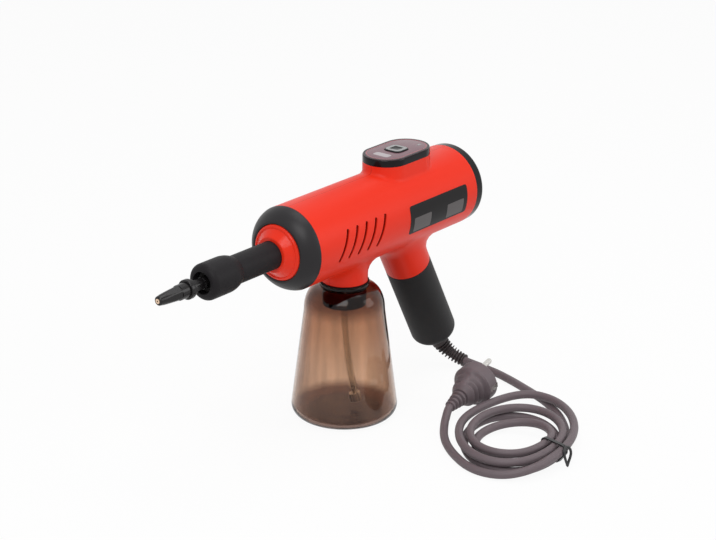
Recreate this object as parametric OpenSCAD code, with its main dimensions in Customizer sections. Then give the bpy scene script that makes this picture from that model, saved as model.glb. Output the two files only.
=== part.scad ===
// Handheld steam cleaner: a gun-shaped housing that stands on its screw-on water bottle.
// The origin is the centre of the bottle's base. +X points along the lance, +Y to the tool's left, +Z up.

/* [Bottle] */
// Radius of the bottle's base
bottle_base_r = 44.8; // [42:0.1:47]
// Rounding round the base
bottle_corner_r = 9; // [5:0.5:11]
// Radius just below the shoulder
bottle_shoulder_r = 33.9; // [31:0.1:37]
// Height at which the shoulder starts
bottle_shoulder_z = 94.5; // [88:0.5:100]
// Height of the mouth's rim
bottle_h = 118.4; // [114:0.2:124]
// Height of the straight lip under the rim
lip_h = 2.4; // [1.5:0.1:4]
// Inside radius of the mouth
mouth_r = 18.4; // [18:0.1:19]
// Wall of the bottle
bottle_wall = 2; // [1.4:0.1:2.6]
// Wall of the bottle's rim
rim_wall = 2.2; // [1.8:0.1:2.6]
// Thickness of the flat seal on the rim
seal_t = 1; // [0.8:0.1:2]

/* [Inlet] */
// Length of the inlet's threaded part below the seal
spigot_h = 19.5; // [14:0.5:24]
// Radius of the inlet's neck in the socket
spigot_neck_r = 15.3; // [14:0.1:15.8]
// Outside radius of the water hoses
hose_r = 3.5; // [3:0.1:3.6]
// Bore radius of the water hoses
hose_bore_r = 2; // [1.5:0.1:2.2]
// Outside radius of the dip hose
dip_r = 3; // [2.6:0.1:3.4]
// Length of the dip hose
dip_len = 82; // [70:1:84]
// How far the dip hose bends over its length, in degrees
dip_bend = 12; // [6:1:13]
// Length of the filter weight on the dip hose
filter_len = 11; // [8:0.5:13]
// Radius of the filter weight
filter_r = 5; // [4.4:0.1:5.4]

/* [Housing] */
// Radius of the barrel
barrel_r = 35.1; // [34.6:0.1:38]
// Wall of the housing
wall = 2.4; // [1.8:0.1:2.8]
// From the bottle's axis to the front seam
barrel_front = 71; // [70:0.5:80]
// From the bottle's axis back to the rear seam
barrel_rear = 136.4; // [135:0.2:144]
// From the socket's rim up to the barrel's axis
socket_drop = 47.5; // [47:0.5:52]
// Radius of the bottle's socket
socket_r = 19.5; // [19.3:0.1:21]
// Reach of the socket's blend, along the socket and along the barrel
socket_blend = 12; // [7:0.5:12]
// Reach of the handle's blend
handle_blend = 16; // [8:0.5:17]
// Reach of the panel boss's blend
boss_blend = 4; // [2:0.5:5]

/* [Vents] */
// Slots on each side
vent_count = 5; // [3:1:5]
// Step from slot to slot
vent_pitch = 12; // [8:0.5:12]
// Width of a slot
vent_w = 3; // [1.4:0.1:3.4]
// Height that a slot spans
vent_rise = 25; // [15:1:28]
// How far a slot's foot lies ahead of its head
vent_lean = 12.5; // [6:0.5:14]
// Middle of the first slot, ahead of the bottle's axis
vent_x = 41; // [38:0.5:44]
// Middle of the slots, above the barrel's axis
vent_up = 1.2; // [0:0.1:3]

/* [Handle] */
// From the bottle's axis back to where the handle's axis meets the barrel's
handle_back = 54.2; // [52:0.2:58]
// Lean of the handle from upright, in degrees
handle_lean = 28; // [24:0.5:30]
// From the barrel's axis along the handle to its end
handle_len = 153.7; // [146:0.1:155]
// Radius of the handle and of its grip
handle_r = 20; // [19:0.1:21.5]
// Length of the rubber grip
grip_len = 88.5; // [70:0.5:95]
// Thickness of the rubber grip
grip_t = 2.5; // [2:0.1:3]
// Rounding of the grip's end
grip_round = 8; // [5:0.5:9]

/* [Front] */
// Length of the bumper ring ahead of the front seam
ring_len = 13.5; // [11:0.5:16]
// Radius of the bumper ring's bulge
ring_bulge_r = 20; // [16:0.5:30]
// Radius of the collar's flange
flange_r = 23.2; // [21.5:0.1:24]
// Depth at which the flange sits in the ring
flange_seat = 4.5; // [3:0.5:6]
// Radius of the collar's nose
nose_r = 15.4; // [14:0.1:17]
// How far the collar's nose stands ahead of the ring
nose_len = 7.5; // [6:0.5:10]
// Radius of the lance tube
lance_r = 11.65; // [10.5:0.05:12]
// From the ring's front to the start of the coupling sleeve
lance_len = 51.5; // [40:0.5:60]
// Radius of the coupling sleeve
sleeve_r = 14.9; // [13.8:0.1:17]
// Length of the coupling sleeve
sleeve_len = 36; // [32:0.5:44]
// Length over which the sleeve widens from the tube
sleeve_taper = 9; // [6:0.5:12]
// Depth of the recess in the sleeve's front
recess_h = 8; // [6:0.5:10]

/* [Nozzle] */
// Radius of the nozzle's neck
neck_r = 4.9; // [4.4:0.1:5.2]
// From the sleeve's front to the nozzle's hub
neck_len = 11; // [8:0.5:16]
// Radius of the hub's flange
hub_r = 8; // [7.4:0.1:8.6]
// Radius of the step behind the flange
hub_step_r = 6.6; // [6:0.1:7]
// Length of the step
hub_step = 2.4; // [1.5:0.1:3]
// Length of the hub, step and flange together
hub_len = 7; // [6:0.5:10]
// Length of the nozzle's cone
cone_len = 29.8; // [22:0.2:36]
// Radius at the nozzle's tip
tip_r = 3.7; // [3.2:0.1:4.4]
// How much wider the cone's root is than its tip
cone_swell = 2.6; // [1.8:0.1:2.8]
// Radius of the brass jet in the tip
jet_r = 2; // [1.6:0.1:2.4]

/* [Panel] */
// Length of the control panel
panel_l = 67; // [62:0.5:70]
// Width of the control panel
panel_w = 40; // [38:0.5:42]
// From the bottle's axis back to the panel's middle
panel_back = 68; // [66:0.5:70]
// From the barrel's axis up to the boss's rim
boss_rise = 42.3; // [42:0.1:48]
// Height of the panel's bezel
bezel_h = 6.3; // [4.5:0.1:7]
// Side of the square button
button_w = 17; // [14:0.5:19]
// Travel of the button
button_travel = 1; // [0.6:0.1:1.2]

/* [Rear] */
// Length of the rear cap behind the rear seam
cap_len = 10.4; // [8:0.2:14]
// Rounding of the rear cap's edge
cap_round = 3.5; // [2:0.5:6]
// How far the cap's rim stands in from the barrel
cap_inset = 0.3; // [0.1:0.1:1]

/* [Works] */
// Radius of the boiler
boiler_r = 22.5; // [20:0.5:23]
// Length of the boiler
boiler_len = 86; // [76:0.5:98]
// How far the boiler's axis lies above the barrel's
boiler_up = 5.5; // [5:0.1:6]
// Radius of the pump's coil
pump_r = 17; // [15:0.5:17.5]
// Length of the pump's body
pump_len = 44; // [40:0.5:46]
// Radius of the pump's plunger
plunger_r = 5; // [4:0.1:6]
// Travel of the plunger to each side
plunger_travel = 2; // [1:0.1:2.5]
// Thickness of the circuit boards
board_t = 1.6; // [1:0.1:2]

/* [Cord] */
// Radius of the mains cord
cord_r = 3.5; // [3:0.1:3.5]
// Bend radius of the strain relief
relief_bend = 28.5; // [28.5:0.5:30]
// Fins on the strain relief
relief_fins = 9; // [6:1:10]
// Radius of the plug's face
plug_r = 18; // [17:0.1:18]

/* [Hidden] */

$fn = 64;
red = "#e8432c";
black = "#2b2b2e";
gloss_black = "#17171a";
grey = "#6b6164";
amber = [0.55, 0.40, 0.30, 0.55];
metal = "silver";
clear_hose = "gainsboro";
heat_board = "tan";

// Clearances: fixed fits, running fits, the play under the seals and at the hoses' ends
fit = 0.15;
run = 0.4;
seal_gap = 0.25;
hose_gap = 0.3;
eps = 0.5;

// Heights and stations that follow from the driving sizes
neck_out_r = mouth_r + rim_wall;
shoulder_h = bottle_h - lip_h - bottle_shoulder_z;
cone_a = atan((bottle_base_r - bottle_shoulder_r) / (bottle_shoulder_z - bottle_corner_r));
seal_z = bottle_h + seal_gap;
socket_z = seal_z + seal_t + seal_gap;
barrel_z = socket_z + socket_drop;
cavity_r = barrel_r - wall;
boss_top = barrel_z + boss_rise;
ring_front = barrel_front + ring_len;
// Depth to which the ring and the rear cap plug into the barrel
plug_in = 5;

// The handle's own frame: its end's middle, and the unit vector up its axis
handle_up = [sin(handle_lean), 0, cos(handle_lean)];
handle_side = [cos(handle_lean), 0, -sin(handle_lean)];
handle_top = [-handle_back, 0, barrel_z];
grip_end = handle_top - handle_len * handle_up;
core_r = handle_r - grip_t - fit;
core_bore_r = core_r - wall;
end_wall = 6;
relief_hole_r = 6.2;

// Points on an arc about (cx, cy), from angle a0 to a1
function arc(cx, cy, r, a0, a1, n = 8) =
    [for (i = [0:n]) let (a = a0 + (a1 - a0) * i / n) [cx + r * cos(a), cy + r * sin(a)]];
// Points on an arc of radius r from p0 to p1, bulging away from the axis
function bow(p0, p1, r, n = 8) =
    let (c = p1 - p0, q = (p0 + p1) / 2 - sqrt(r * r - c * c / 4) * unit([c.y, -c.x]))
    arc(q.x, q.y, r, atan2(p0.y - q.y, p0.x - q.x), atan2(p1.y - q.y, p1.x - q.x), n);
function unit(v) = v / norm(v);
// A point pushed radially onto a cylinder of radius r about the barrel's axis
function on_barrel(p, r) = let (q = unit([0, p.y, p.z - barrel_z])) [p.x, 0, barrel_z] + r * q;

// Children stand on the barrel's axis, their Z along +X
module along_x(up = 0) { translate([0, 0, barrel_z + up]) rotate([0, 90, 0]) children(); }
// Children stand on the handle's axis, their Z up the handle from its end
module in_handle() { translate(grip_end) rotate([0, handle_lean, 0]) children(); }
module revolve_x(profile, up = 0) { along_x(up) rotate_extrude() polygon(profile); }
// A rod or a tube along the barrel's direction, from x0 to x1
module rod_x(r, x0, x1, up = 0) { along_x(up) translate([0, 0, x0]) cylinder(r = r, h = x1 - x0); }
module ring_x(r_out, r_in, x0, x1, up = 0) {
    difference() {
        rod_x(r_out, x0, x1, up);
        rod_x(r_in, x0 - eps, x1 + eps, up);
    }
}
module rounded_square(l, w, r) {
    square([l - 2 * r, w], center = true);
    square([l, w - 2 * r], center = true);
    for (x = [-1, 1], y = [-1, 1]) translate([x * (l / 2 - r), y * (w / 2 - r)]) circle(r = r);
}
module racetrack_2d(l, w) {
    square([l - w, w], center = true);
    for (s = [-1, 1]) translate([s * (l - w) / 2, 0]) circle(d = w);
}
// A racetrack-shaped solid: a half profile (radius, height) carried round two ends and along the sides
module racetrack(l, w, profile) {
    straight = l - w;
    for (s = [-1, 1]) translate([s * straight / 2, 0, 0]) rotate_extrude() polygon(profile);
    translate([-straight / 2, 0, 0]) rotate([90, 0, 90]) linear_extrude(straight) {
        polygon(profile);
        mirror([1, 0]) polygon(profile);
    }
}

// Sweeps: rings of points about a path, closed at both ends
function heading(path, i) = unit(path[min(i + 1, len(path) - 1)] - path[max(i - 1, 0)]);
function ring_at(c, t, r, sides, up) =
    let (s = unit(cross(t, up)), n = cross(s, t))
    [for (j = [0:sides - 1]) let (a = 360 * j / sides) c + r * (cos(a) * s + sin(a) * n)];
function grid_faces(rings, sides) = [for (i = [0:rings - 2], j = [0:sides - 1], k = [0, 1])
    let (a = i * sides + j, b = i * sides + (j + 1) % sides)
    k == 0 ? [a, b, b + sides] : [a, b + sides, a + sides]];
function cap_faces(first, sides, turn) = [for (j = [1:sides - 2])
    turn ? [first, first + j + 1, first + j] : [first, first + j, first + j + 1]];
module tube(points, rings, sides) {
    polyhedron(points, concat(cap_faces(0, sides, true), grid_faces(rings, sides),
        cap_faces((rings - 1) * sides, sides, false)));
}
module sweep(path, r, sides, starts, ends) {
    m = len(path);
    points = [for (i = [0:m - 1])
        let (t = i == 0 ? starts : i == m - 1 ? ends : heading(path, i))
        each ring_at(path[i], t, r, sides, [0, 0, 1])];
    tube(points, m, sides);
}

// Blends between a wall that rises off the barrel and the barrel itself. Each ring starts just inside the
// wall, follows a quadratic curve to just inside the barrel and closes within both.
blend_steps = 5;
blend_sink = 0.25;
blend_depth = 1.6;
blend_count = 48;
function blend_ring(foot, away, normal, reach) =
    let (nb = unit([0, foot.y, foot.z - barrel_z]),
         t = unit(normal - (normal * nb) * nb),
         a = foot + away * reach - normal * blend_sink,
         b = on_barrel(foot + t * reach, barrel_r - blend_sink))
    concat([for (k = [0:blend_steps]) let (s = k / blend_steps)
                (1 - s) * (1 - s) * a + 2 * s * (1 - s) * foot + s * s * b],
           [foot - normal * blend_depth - away * blend_depth, a - normal * blend_depth]);
module blend(rings, flip = false) {
    m = len(rings);
    n = len(rings[0]);
    faces = [for (i = [0:m - 1], j = [0:n - 1], k = [0, 1])
        let (i2 = (i + 1) % m, j2 = (j + 1) % n,
             f = k == 0 ? [i * n + j, i * n + j2, i2 * n + j2] : [i * n + j, i2 * n + j2, i2 * n + j])
        flip ? [f[0], f[2], f[1]] : f];
    polyhedron([for (r = rings) each r], faces);
}
function blend_angle(i) = 360 * (i + 0.5) / blend_count;
function barrel_drop(y) = sqrt(barrel_r * barrel_r - y * y);
function socket_rings() = [for (i = [0:blend_count - 1])
    let (a = blend_angle(i), n = [cos(a), sin(a), 0], y = socket_r * sin(a))
    blend_ring([socket_r * cos(a), y, barrel_z - barrel_drop(y)], [0, 0, -1], n, socket_blend)];
function handle_rings() = [for (i = [0:blend_count - 1])
    let (a = blend_angle(i), n = handle_side * cos(a) + [0, sin(a), 0], y = handle_r * sin(a),
         s = (handle_r * cos(a) * sin(handle_lean) - barrel_drop(y)) / cos(handle_lean))
    blend_ring(handle_top + handle_r * n + s * handle_up, -handle_up, n, handle_blend)];
// The boss is a racetrack, so its wall points run round one end, along a side, round the other and back
function boss_rings() = [for (i = [0:blend_count - 1])
    let (a = blend_angle(i), n = [cos(a), sin(a), 0], half = (panel_l - panel_w) / 2,
         y = panel_w / 2 * sin(a), x = panel_w / 2 * cos(a) + (cos(a) > 0 ? half : -half) - panel_back)
    blend_ring([x, y, barrel_z + barrel_drop(y)], [0, 0, 1], n, boss_blend)];

// Bottle: blow-moulded, wide-mouthed, with a rounded base and shoulder
function bottle_profile(inset) =
    let (mouth = inset == 0 ? neck_out_r : mouth_r, below = bottle_shoulder_r - inset,
         rise = shoulder_h - inset)
    concat([[0, inset]],
        arc(bottle_base_r - bottle_corner_r, bottle_corner_r, bottle_corner_r - inset, -90, cone_a),
        [for (t = [0:9:90]) [mouth + (below - mouth) * cos(t), bottle_shoulder_z + rise * sin(t)]],
        [[mouth, bottle_h + inset], [0, bottle_h + inset]]);
module bottle() {
    color(amber) difference() {
        rotate_extrude() polygon(bottle_profile(0));
        rotate_extrude() polygon(bottle_profile(bottle_wall));
    }
}
module bottle_seal() {
    color(black) translate([0, 0, seal_z]) difference() {
        cylinder(r = neck_out_r, h = seal_t);
        translate([0, 0, -eps]) cylinder(r = mouth_r, h = seal_t + 2 * eps);
    }
}

// Inlet: a threaded cap that hangs in the socket, with a nipple for the dip hose and an elbow on top
ledge_up = 11;
ledge_z = socket_z + ledge_up;
ledge_t = 3;
spigot_lip = 1.9;
spigot_flange_r = spigot_neck_r + spigot_lip;
spigot_bottom = seal_z - spigot_h;
spigot_wall = 2;
spigot_roof = 4;
spigot_hub = 3;
thread_r = mouth_r - run;
elbow_up = -27.9;
elbow_r = 6.5;
elbow_cover = 1.5;
elbow_nipple = 9;
hose_grip = 0.1;
nipple_r = hose_bore_r - hose_grip;
nipple_root = 2;
nipple_bore_r = 1;
dip_wall = 1;
dip_bore_r = dip_r - dip_wall;
dip_nipple = 6;
dip_nipple_r = dip_bore_r - 2 * fit;
module inlet_spigot() {
    elbow_z = barrel_z + elbow_up;
    nipple_z = spigot_bottom - dip_nipple;
    color(black) difference() {
        union() {
            translate([0, 0, spigot_bottom]) {
                cylinder(r = thread_r, h = socket_z - fit - spigot_bottom);
                cylinder(r = spigot_neck_r, h = ledge_z + ledge_t - spigot_bottom);
            }
            translate([0, 0, ledge_z]) {
                cylinder(r = spigot_flange_r, h = ledge_t);
                cylinder(r = elbow_r, h = elbow_z + hose_r + elbow_cover - ledge_z);
            }
            rod_x(nipple_r, -elbow_r - elbow_nipple, -elbow_r + nipple_root, elbow_up);
            translate([0, 0, nipple_z]) cylinder(r = dip_nipple_r, h = dip_nipple + nipple_root);
        }
        translate([0, 0, spigot_bottom - eps]) difference() {
            cylinder(r = thread_r - spigot_wall, h = spigot_h - spigot_roof);
            translate([0, 0, -eps]) cylinder(r = dip_r + spigot_hub, h = spigot_h);
        }
        translate([0, 0, nipple_z - eps]) cylinder(r = nipple_bore_r, h = elbow_z - nipple_z + eps);
        rod_x(nipple_bore_r, -elbow_r - elbow_nipple - eps, 0, elbow_up);
    }
}
// Dip hose: one long bend towards the bottle's left rear, so that it finds the last water
dip_turn = 129;
dip_bend_r = dip_len * 180 / (PI * dip_bend);
dip_top = spigot_bottom - fit;
dip_tuck = 4;
dip_over = 0.2;
module dip_arc(r, over = 0) {
    translate([dip_bend_r, 0, dip_top]) rotate([-90, 0, 0]) rotate([0, 0, 180 - dip_bend - over])
        rotate_extrude(angle = dip_bend + 2 * over) translate([dip_bend_r, 0]) circle(r = r);
}
module at_dip_end() {
    translate([dip_bend_r * (1 - cos(dip_bend)), 0, dip_top - dip_bend_r * sin(dip_bend)])
        rotate([0, -dip_bend, 0]) children();
}
module dip_hose() {
    color(clear_hose) rotate([0, 0, dip_turn]) difference() {
        dip_arc(dip_r);
        dip_arc(dip_bore_r, dip_over);
    }
}
// Filter: a fluted weight on a nipple in the dip hose's end
flute_count = 6;
flute_r = 0.8;
module hose_filter() {
    color(metal) rotate([0, 0, dip_turn]) at_dip_end() translate([0, 0, dip_tuck - filter_len])
        difference() {
            union() {
                cylinder(r = filter_r, h = filter_len - dip_tuck - fit);
                cylinder(r = dip_nipple_r, h = filter_len);
            }
            translate([0, 0, -eps]) cylinder(r = nipple_bore_r, h = filter_len + 2 * eps);
            for (i = [1:flute_count]) rotate([0, 0, 360 * i / flute_count])
                translate([filter_r, 0, -eps]) cylinder(r = flute_r, h = filter_len);
        }
}

// Housing: two moulded halves that part along the middle plane
screw_up = 24;
screw_front = 18;
screw_rear = 10.4;
barrel_screws = [[barrel_front - screw_front, screw_up], [barrel_front - screw_front, -screw_up],
    [screw_rear - barrel_rear, screw_up]];
handle_screws = [40, 95];
screw_boss_r = 4;
screw_r = 1.4;
screw_bite = 0.1;
screw_play = 0.2;
screw_hole_y = 11;
screw_tip_y = 9;
screw_head_y = -9;
screw_head_r = 2.8;
screw_head_h = 2.4;
screw_slot = [3.4, 0.8, 2];
// Children lie along Y at every screw's place
module at_screws() {
    for (p = barrel_screws) translate([p[0], 0, barrel_z + p[1]]) rotate([-90, 0, 0]) children();
    for (s = handle_screws) in_handle() translate([0, 0, s]) rotate([-90, 0, 0]) children();
}
module housing_outside() {
    rod_x(barrel_r, -barrel_rear, barrel_front);
    translate([0, 0, socket_z]) cylinder(r = socket_r, h = socket_drop);
    in_handle() {
        translate([0, 0, grip_len]) cylinder(r = handle_r, h = handle_len - grip_len);
        translate([0, 0, end_wall + fit]) cylinder(r = core_r, h = handle_len - end_wall);
    }
    translate([-panel_back, 0, barrel_z]) linear_extrude(boss_rise) racetrack_2d(panel_l, panel_w);
    blend(socket_rings());
    blend(handle_rings());
    blend(boss_rings(), true);
}
module housing_inside() {
    rod_x(cavity_r, -barrel_rear - eps, barrel_front + eps);
    translate([0, 0, socket_z - eps]) cylinder(r = spigot_neck_r + fit, h = socket_drop);
    translate([0, 0, ledge_z]) cylinder(r = spigot_flange_r + fit, h = socket_drop - ledge_up);
    in_handle() {
        translate([0, 0, grip_len + wall]) cylinder(r = handle_r - wall, h = handle_len - grip_len - wall);
        translate([0, 0, -eps]) cylinder(r = core_bore_r, h = grip_len + wall + 2 * eps);
    }
    translate([-panel_back, 0, barrel_z]) linear_extrude(boss_rise + eps)
        racetrack_2d(panel_l - 2 * wall, panel_w - 2 * wall);
}
// Slots that lean forward towards their feet, cut straight through the side
module vents() {
    slope = atan(vent_lean / vent_rise);
    for (i = [0:vent_count - 1]) translate([vent_x - vent_pitch * i, 0, barrel_z + vent_up])
        rotate([90, 0, 0]) linear_extrude(2 * barrel_r + eps, center = true)
            rotate(90 + slope) racetrack_2d(norm([vent_lean, vent_rise]), vent_w);
}
// Where a screw boss may run: inside the skins of the barrel, the handle's neck and its core
module boss_room() {
    rod_x(barrel_r - wall / 2, -barrel_rear, barrel_front);
    in_handle() {
        translate([0, 0, grip_len]) cylinder(r = handle_r - wall / 2, h = grip_len / 2);
        translate([0, 0, end_wall + fit]) cylinder(r = core_r - wall / 2, h = grip_len);
    }
}
// side is 1 for the left half and -1 for the right one
module housing_half(side) {
    reach = 3 * barrel_r;
    span = 2 * (barrel_front + barrel_rear);
    hole_r = side > 0 ? screw_r - screw_bite : screw_r + fit;
    color(red) difference() {
        union() {
            difference() {
                housing_outside();
                housing_inside();
            }
            intersection() {
                at_screws() translate([0, 0, -reach / 2]) cylinder(r = screw_boss_r, h = reach);
                boss_room();
            }
        }
        translate([0, -side * reach / 2, barrel_z / 2])
            cube([span, reach, span], center = true);
        vents();
        at_screws() translate([0, 0, -reach]) {
            cylinder(r = hole_r, h = reach + screw_hole_y);
            if (side < 0) cylinder(r = screw_head_r + 2 * fit, h = reach + screw_head_y);
        }
    }
}
module body_shell_left() { housing_half(1); }
module body_shell_right() { housing_half(-1); }
module housing_screws() {
    color(metal) at_screws() difference() {
        union() {
            translate([0, 0, screw_head_y - screw_head_h]) cylinder(r = screw_head_r, h = screw_head_h);
            translate([0, 0, screw_head_y - eps])
                cylinder(r = screw_r - screw_play, h = screw_tip_y - screw_head_y + eps);
        }
        for (a = [0, 90]) translate([0, 0, screw_head_y - screw_head_h]) rotate([0, 0, a])
            cube(screw_slot, center = true);
    }
}

// Front: bumper ring, collar, lance and coupling sleeve, all turned about the barrel's axis
flange_step = 3.2;
ring_bore_r = flange_r - flange_step;
flange_x = ring_front - flange_seat;
ring_lip = 0.9;
module front_ring() {
    lip_r = flange_r + fit + ring_lip;
    color(black) revolve_x(concat(
        [[ring_bore_r, barrel_front - plug_in], [cavity_r - fit, barrel_front - plug_in],
         [cavity_r - fit, barrel_front]],
        bow([barrel_r, barrel_front], [lip_r + ring_lip, ring_front], ring_bulge_r, 10),
        arc(lip_r, ring_front - ring_lip, ring_lip, 90, 180, 5),
        [[flange_r + fit, flange_x], [ring_bore_r, flange_x]]));
}
collar_tail = 9;
tail_x = barrel_front - collar_tail;
collar_rim = 2.5;
collar_proud = 1.5;
rim_groove = [0.8, 0.4];
nose_round = 1.2;
nose_slope = 30;
module front_collar() {
    rim_x = ring_front + collar_proud;
    nose_x = ring_front + nose_len;
    color(red) revolve_x(concat(
        [[lance_r + fit, tail_x], [ring_bore_r - fit, tail_x], [ring_bore_r - fit, flange_x],
         [flange_r, flange_x]],
        arc(flange_r - collar_rim, rim_x - collar_rim, collar_rim, 0, 90, 6),
        [[flange_r - collar_rim - rim_groove[0], rim_x - rim_groove[1]]],
        arc(nose_r - nose_round, nose_x - nose_round, nose_round, nose_slope, 90, 4),
        [[lance_r + fit, nose_x]]));
}
sleeve_x = ring_front + lance_len;
sleeve_front = sleeve_x + sleeve_len;
recess_x = sleeve_front - recess_h;
partition_t = 7;
partition_x = recess_x - partition_t;
lance_flange_t = 3;
lance_flange_w = 4;
lance_bore_r = 4.3;
module lance_tube() {
    flange_back = tail_x - lance_flange_t;
    color(black) revolve_x([[lance_bore_r, flange_back], [lance_r + lance_flange_w, flange_back],
        [lance_r + lance_flange_w, tail_x], [lance_r, tail_x], [lance_r, partition_x],
        [lance_bore_r, partition_x]]);
}
recess_r = 9;
sleeve_edge = 0.5;
sleeve_ease = [0.4, 3];
sleeve_round_most = 5;
sleeve_round = min(sleeve_round_most, sleeve_r - recess_r - fit);
module lance_sleeve() {
    color(black) revolve_x(concat(
        [[lance_r + fit, sleeve_x], [lance_r + sleeve_edge, sleeve_x],
         [sleeve_r - sleeve_ease[0], sleeve_x + sleeve_taper],
         [sleeve_r, sleeve_x + sleeve_taper + sleeve_ease[1]]],
        arc(sleeve_r - sleeve_round, sleeve_front - sleeve_round, sleeve_round, 0, 90, 8),
        [[recess_r, sleeve_front], [recess_r, recess_x], [neck_r + run, recess_x],
         [neck_r + run, partition_x], [lance_r + fit, partition_x]]));
}
pipe_r = 3.6;
pipe_wall = 1.4;
pipe_gap = 1;
boiler_gap = 13;
boiler_front = tail_x - lance_flange_t - boiler_gap;
boiler_back = boiler_front - boiler_len;
module steam_pipe() { color(metal) ring_x(pipe_r, pipe_r - pipe_wall, boiler_front, partition_x - pipe_gap); }

// Nozzle: a washer on which it turns, the moulded jet with its flats, and its brass insert
washer_t = 2;
hub_x = sleeve_front + neck_len;
cone_x = hub_x + hub_len;
tip_x = cone_x + cone_len;
hub_round = 0.8;
tip_bevel = 0.6;
jet_len = 6;
jet_bore_r = 1;
jet_hole_r = 0.6;
jet_proud = 0.4;
flat_count = 6;
flat_out = 1.9;
flat_start = 8;
flat_lean = 4;
flat_deep = 4;
module nozzle_washer() {
    back = recess_x + seal_gap;
    color("#6a3b2a") ring_x(recess_r - 2 * run, neck_r + run, back, back + washer_t);
}
module jet_nozzle() {
    inner = hub_r - hub_round;
    root = partition_x + pipe_gap;
    color(gloss_black) difference() {
        revolve_x(concat([[0, root], [neck_r, root], [neck_r, hub_x], [hub_step_r, hub_x],
                [hub_step_r, hub_x + hub_step]],
            arc(inner, hub_x + hub_step + hub_round, hub_round, -90, 0, 3),
            arc(inner, cone_x - hub_round, hub_round, 0, 90, 3),
            [for (t = [0:0.125:1]) [tip_r + cone_swell * (1 - t * t), cone_x + (cone_len - tip_bevel) * t]],
            [[tip_r - tip_bevel, tip_x], [0, tip_x]]));
        rod_x(jet_bore_r, root - eps, tip_x + eps);
        rod_x(jet_r, tip_x - jet_len, tip_x + eps);
        for (i = [0:flat_count - 1]) along_x() rotate([0, 0, 360 * (i + 0.5) / flat_count])
            translate([tip_r + flat_out, -tip_r, cone_x + flat_start]) rotate([0, -flat_lean, 0])
                cube([flat_deep, 2 * tip_r, cone_len]);
    }
}
module jet_orifice() { color("goldenrod") ring_x(jet_r, jet_hole_r, tip_x - jet_len, tip_x + jet_proud); }

// Rear cap: a turned cover that plugs into the barrel
cap_floor = 3;
cap_skirt = 2;
cap_back = -barrel_rear - cap_len;
cap_inside = cap_back + cap_floor;
module rear_cap() {
    rim = barrel_r - cap_inset;
    skirt = cavity_r - fit;
    color(gloss_black) revolve_x(concat([[0, cap_back]],
        arc(rim - cap_round, cap_back + cap_round, cap_round, -90, 0, 8),
        [[rim, -barrel_rear], [skirt, -barrel_rear], [skirt, plug_in - barrel_rear],
         [skirt - cap_skirt, plug_in - barrel_rear], [skirt - cap_skirt, cap_inside], [0, cap_inside]]));
}

// Control panel: a bezel that drops into the boss, a window, a sprung button and the board under them
bezel_top = boss_top + bezel_h;
bezel_skin = 2.4;
bezel_round = 1.4;
skirt_in = wall + fit;
skirt_depth = 6;
skirt_t = 1.5;
board_top = boss_top - skirt_depth;
board_play = 0.5;
button_x = -panel_back;
button_r = 5;
button_head = 1;
dish_r = 10;
dish_depth = 0.6;
window_ahead = 19;
window_x = window_ahead - panel_back;
window_l = 7.5;
window_w = 15.5;
window_r = 2;
window_t = 1.2;
stem_r = 1.6;
stem_len = 2;
switch_w = 7;
switch_h = 4.4;
switch_gap = 0.4;
module panel_block(at_x, l, w, r, z0, z1) {
    translate([at_x, 0, z0]) linear_extrude(z1 - z0) rounded_square(l, w, r);
}
module panel_bezel() {
    half = panel_w / 2;
    hollow = skirt_in + skirt_t;
    slot = button_w + 2 * run;
    color(gloss_black) difference() {
        translate([-panel_back, 0, 0]) {
            racetrack(panel_l, panel_w, concat([[0, boss_top], [half, boss_top]],
                arc(half - bezel_round, bezel_top - bezel_round, bezel_round, 0, 90, 4), [[0, bezel_top]]));
            translate([0, 0, board_top]) linear_extrude(skirt_depth + eps)
                racetrack_2d(panel_l - 2 * skirt_in, panel_w - 2 * skirt_in);
        }
        translate([-panel_back, 0, board_top - eps]) linear_extrude(skirt_depth + bezel_h - bezel_skin + eps)
            racetrack_2d(panel_l - 2 * hollow, panel_w - 2 * hollow);
        panel_block(button_x, slot, slot, button_r + run, boss_top, bezel_top + eps);
        panel_block(window_x, window_l + 2 * fit, window_w + 2 * fit, window_r + fit,
            bezel_top - window_t, bezel_top + eps);
    }
}
module panel_window() {
    color(clear_hose) panel_block(window_x, window_l, window_w, window_r, bezel_top - window_t, bezel_top);
}
module panel_button() {
    foot = board_top + switch_h + switch_gap + button_travel;
    head = bezel_top + button_head;
    color(gloss_black) difference() {
        union() {
            panel_block(button_x, button_w, button_w, button_r, foot, head);
            translate([button_x, 0, foot - stem_len]) cylinder(r = stem_r, h = stem_len + eps);
        }
        translate([button_x, 0, head + dish_r - dish_depth]) sphere(r = dish_r);
    }
}
module control_board() {
    margin = 2 * (skirt_in + board_play);
    color("darkgreen") translate([-panel_back, 0, board_top - board_t]) linear_extrude(board_t)
        racetrack_2d(panel_l - margin, panel_w - margin);
}
module tact_switch() {
    color("dimgray") translate([button_x, 0, board_top]) difference() {
        translate([-switch_w / 2, -switch_w / 2, 0]) cube([switch_w, switch_w, switch_h]);
        cylinder(r = stem_r + run, h = switch_h + eps);
    }
}

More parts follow.
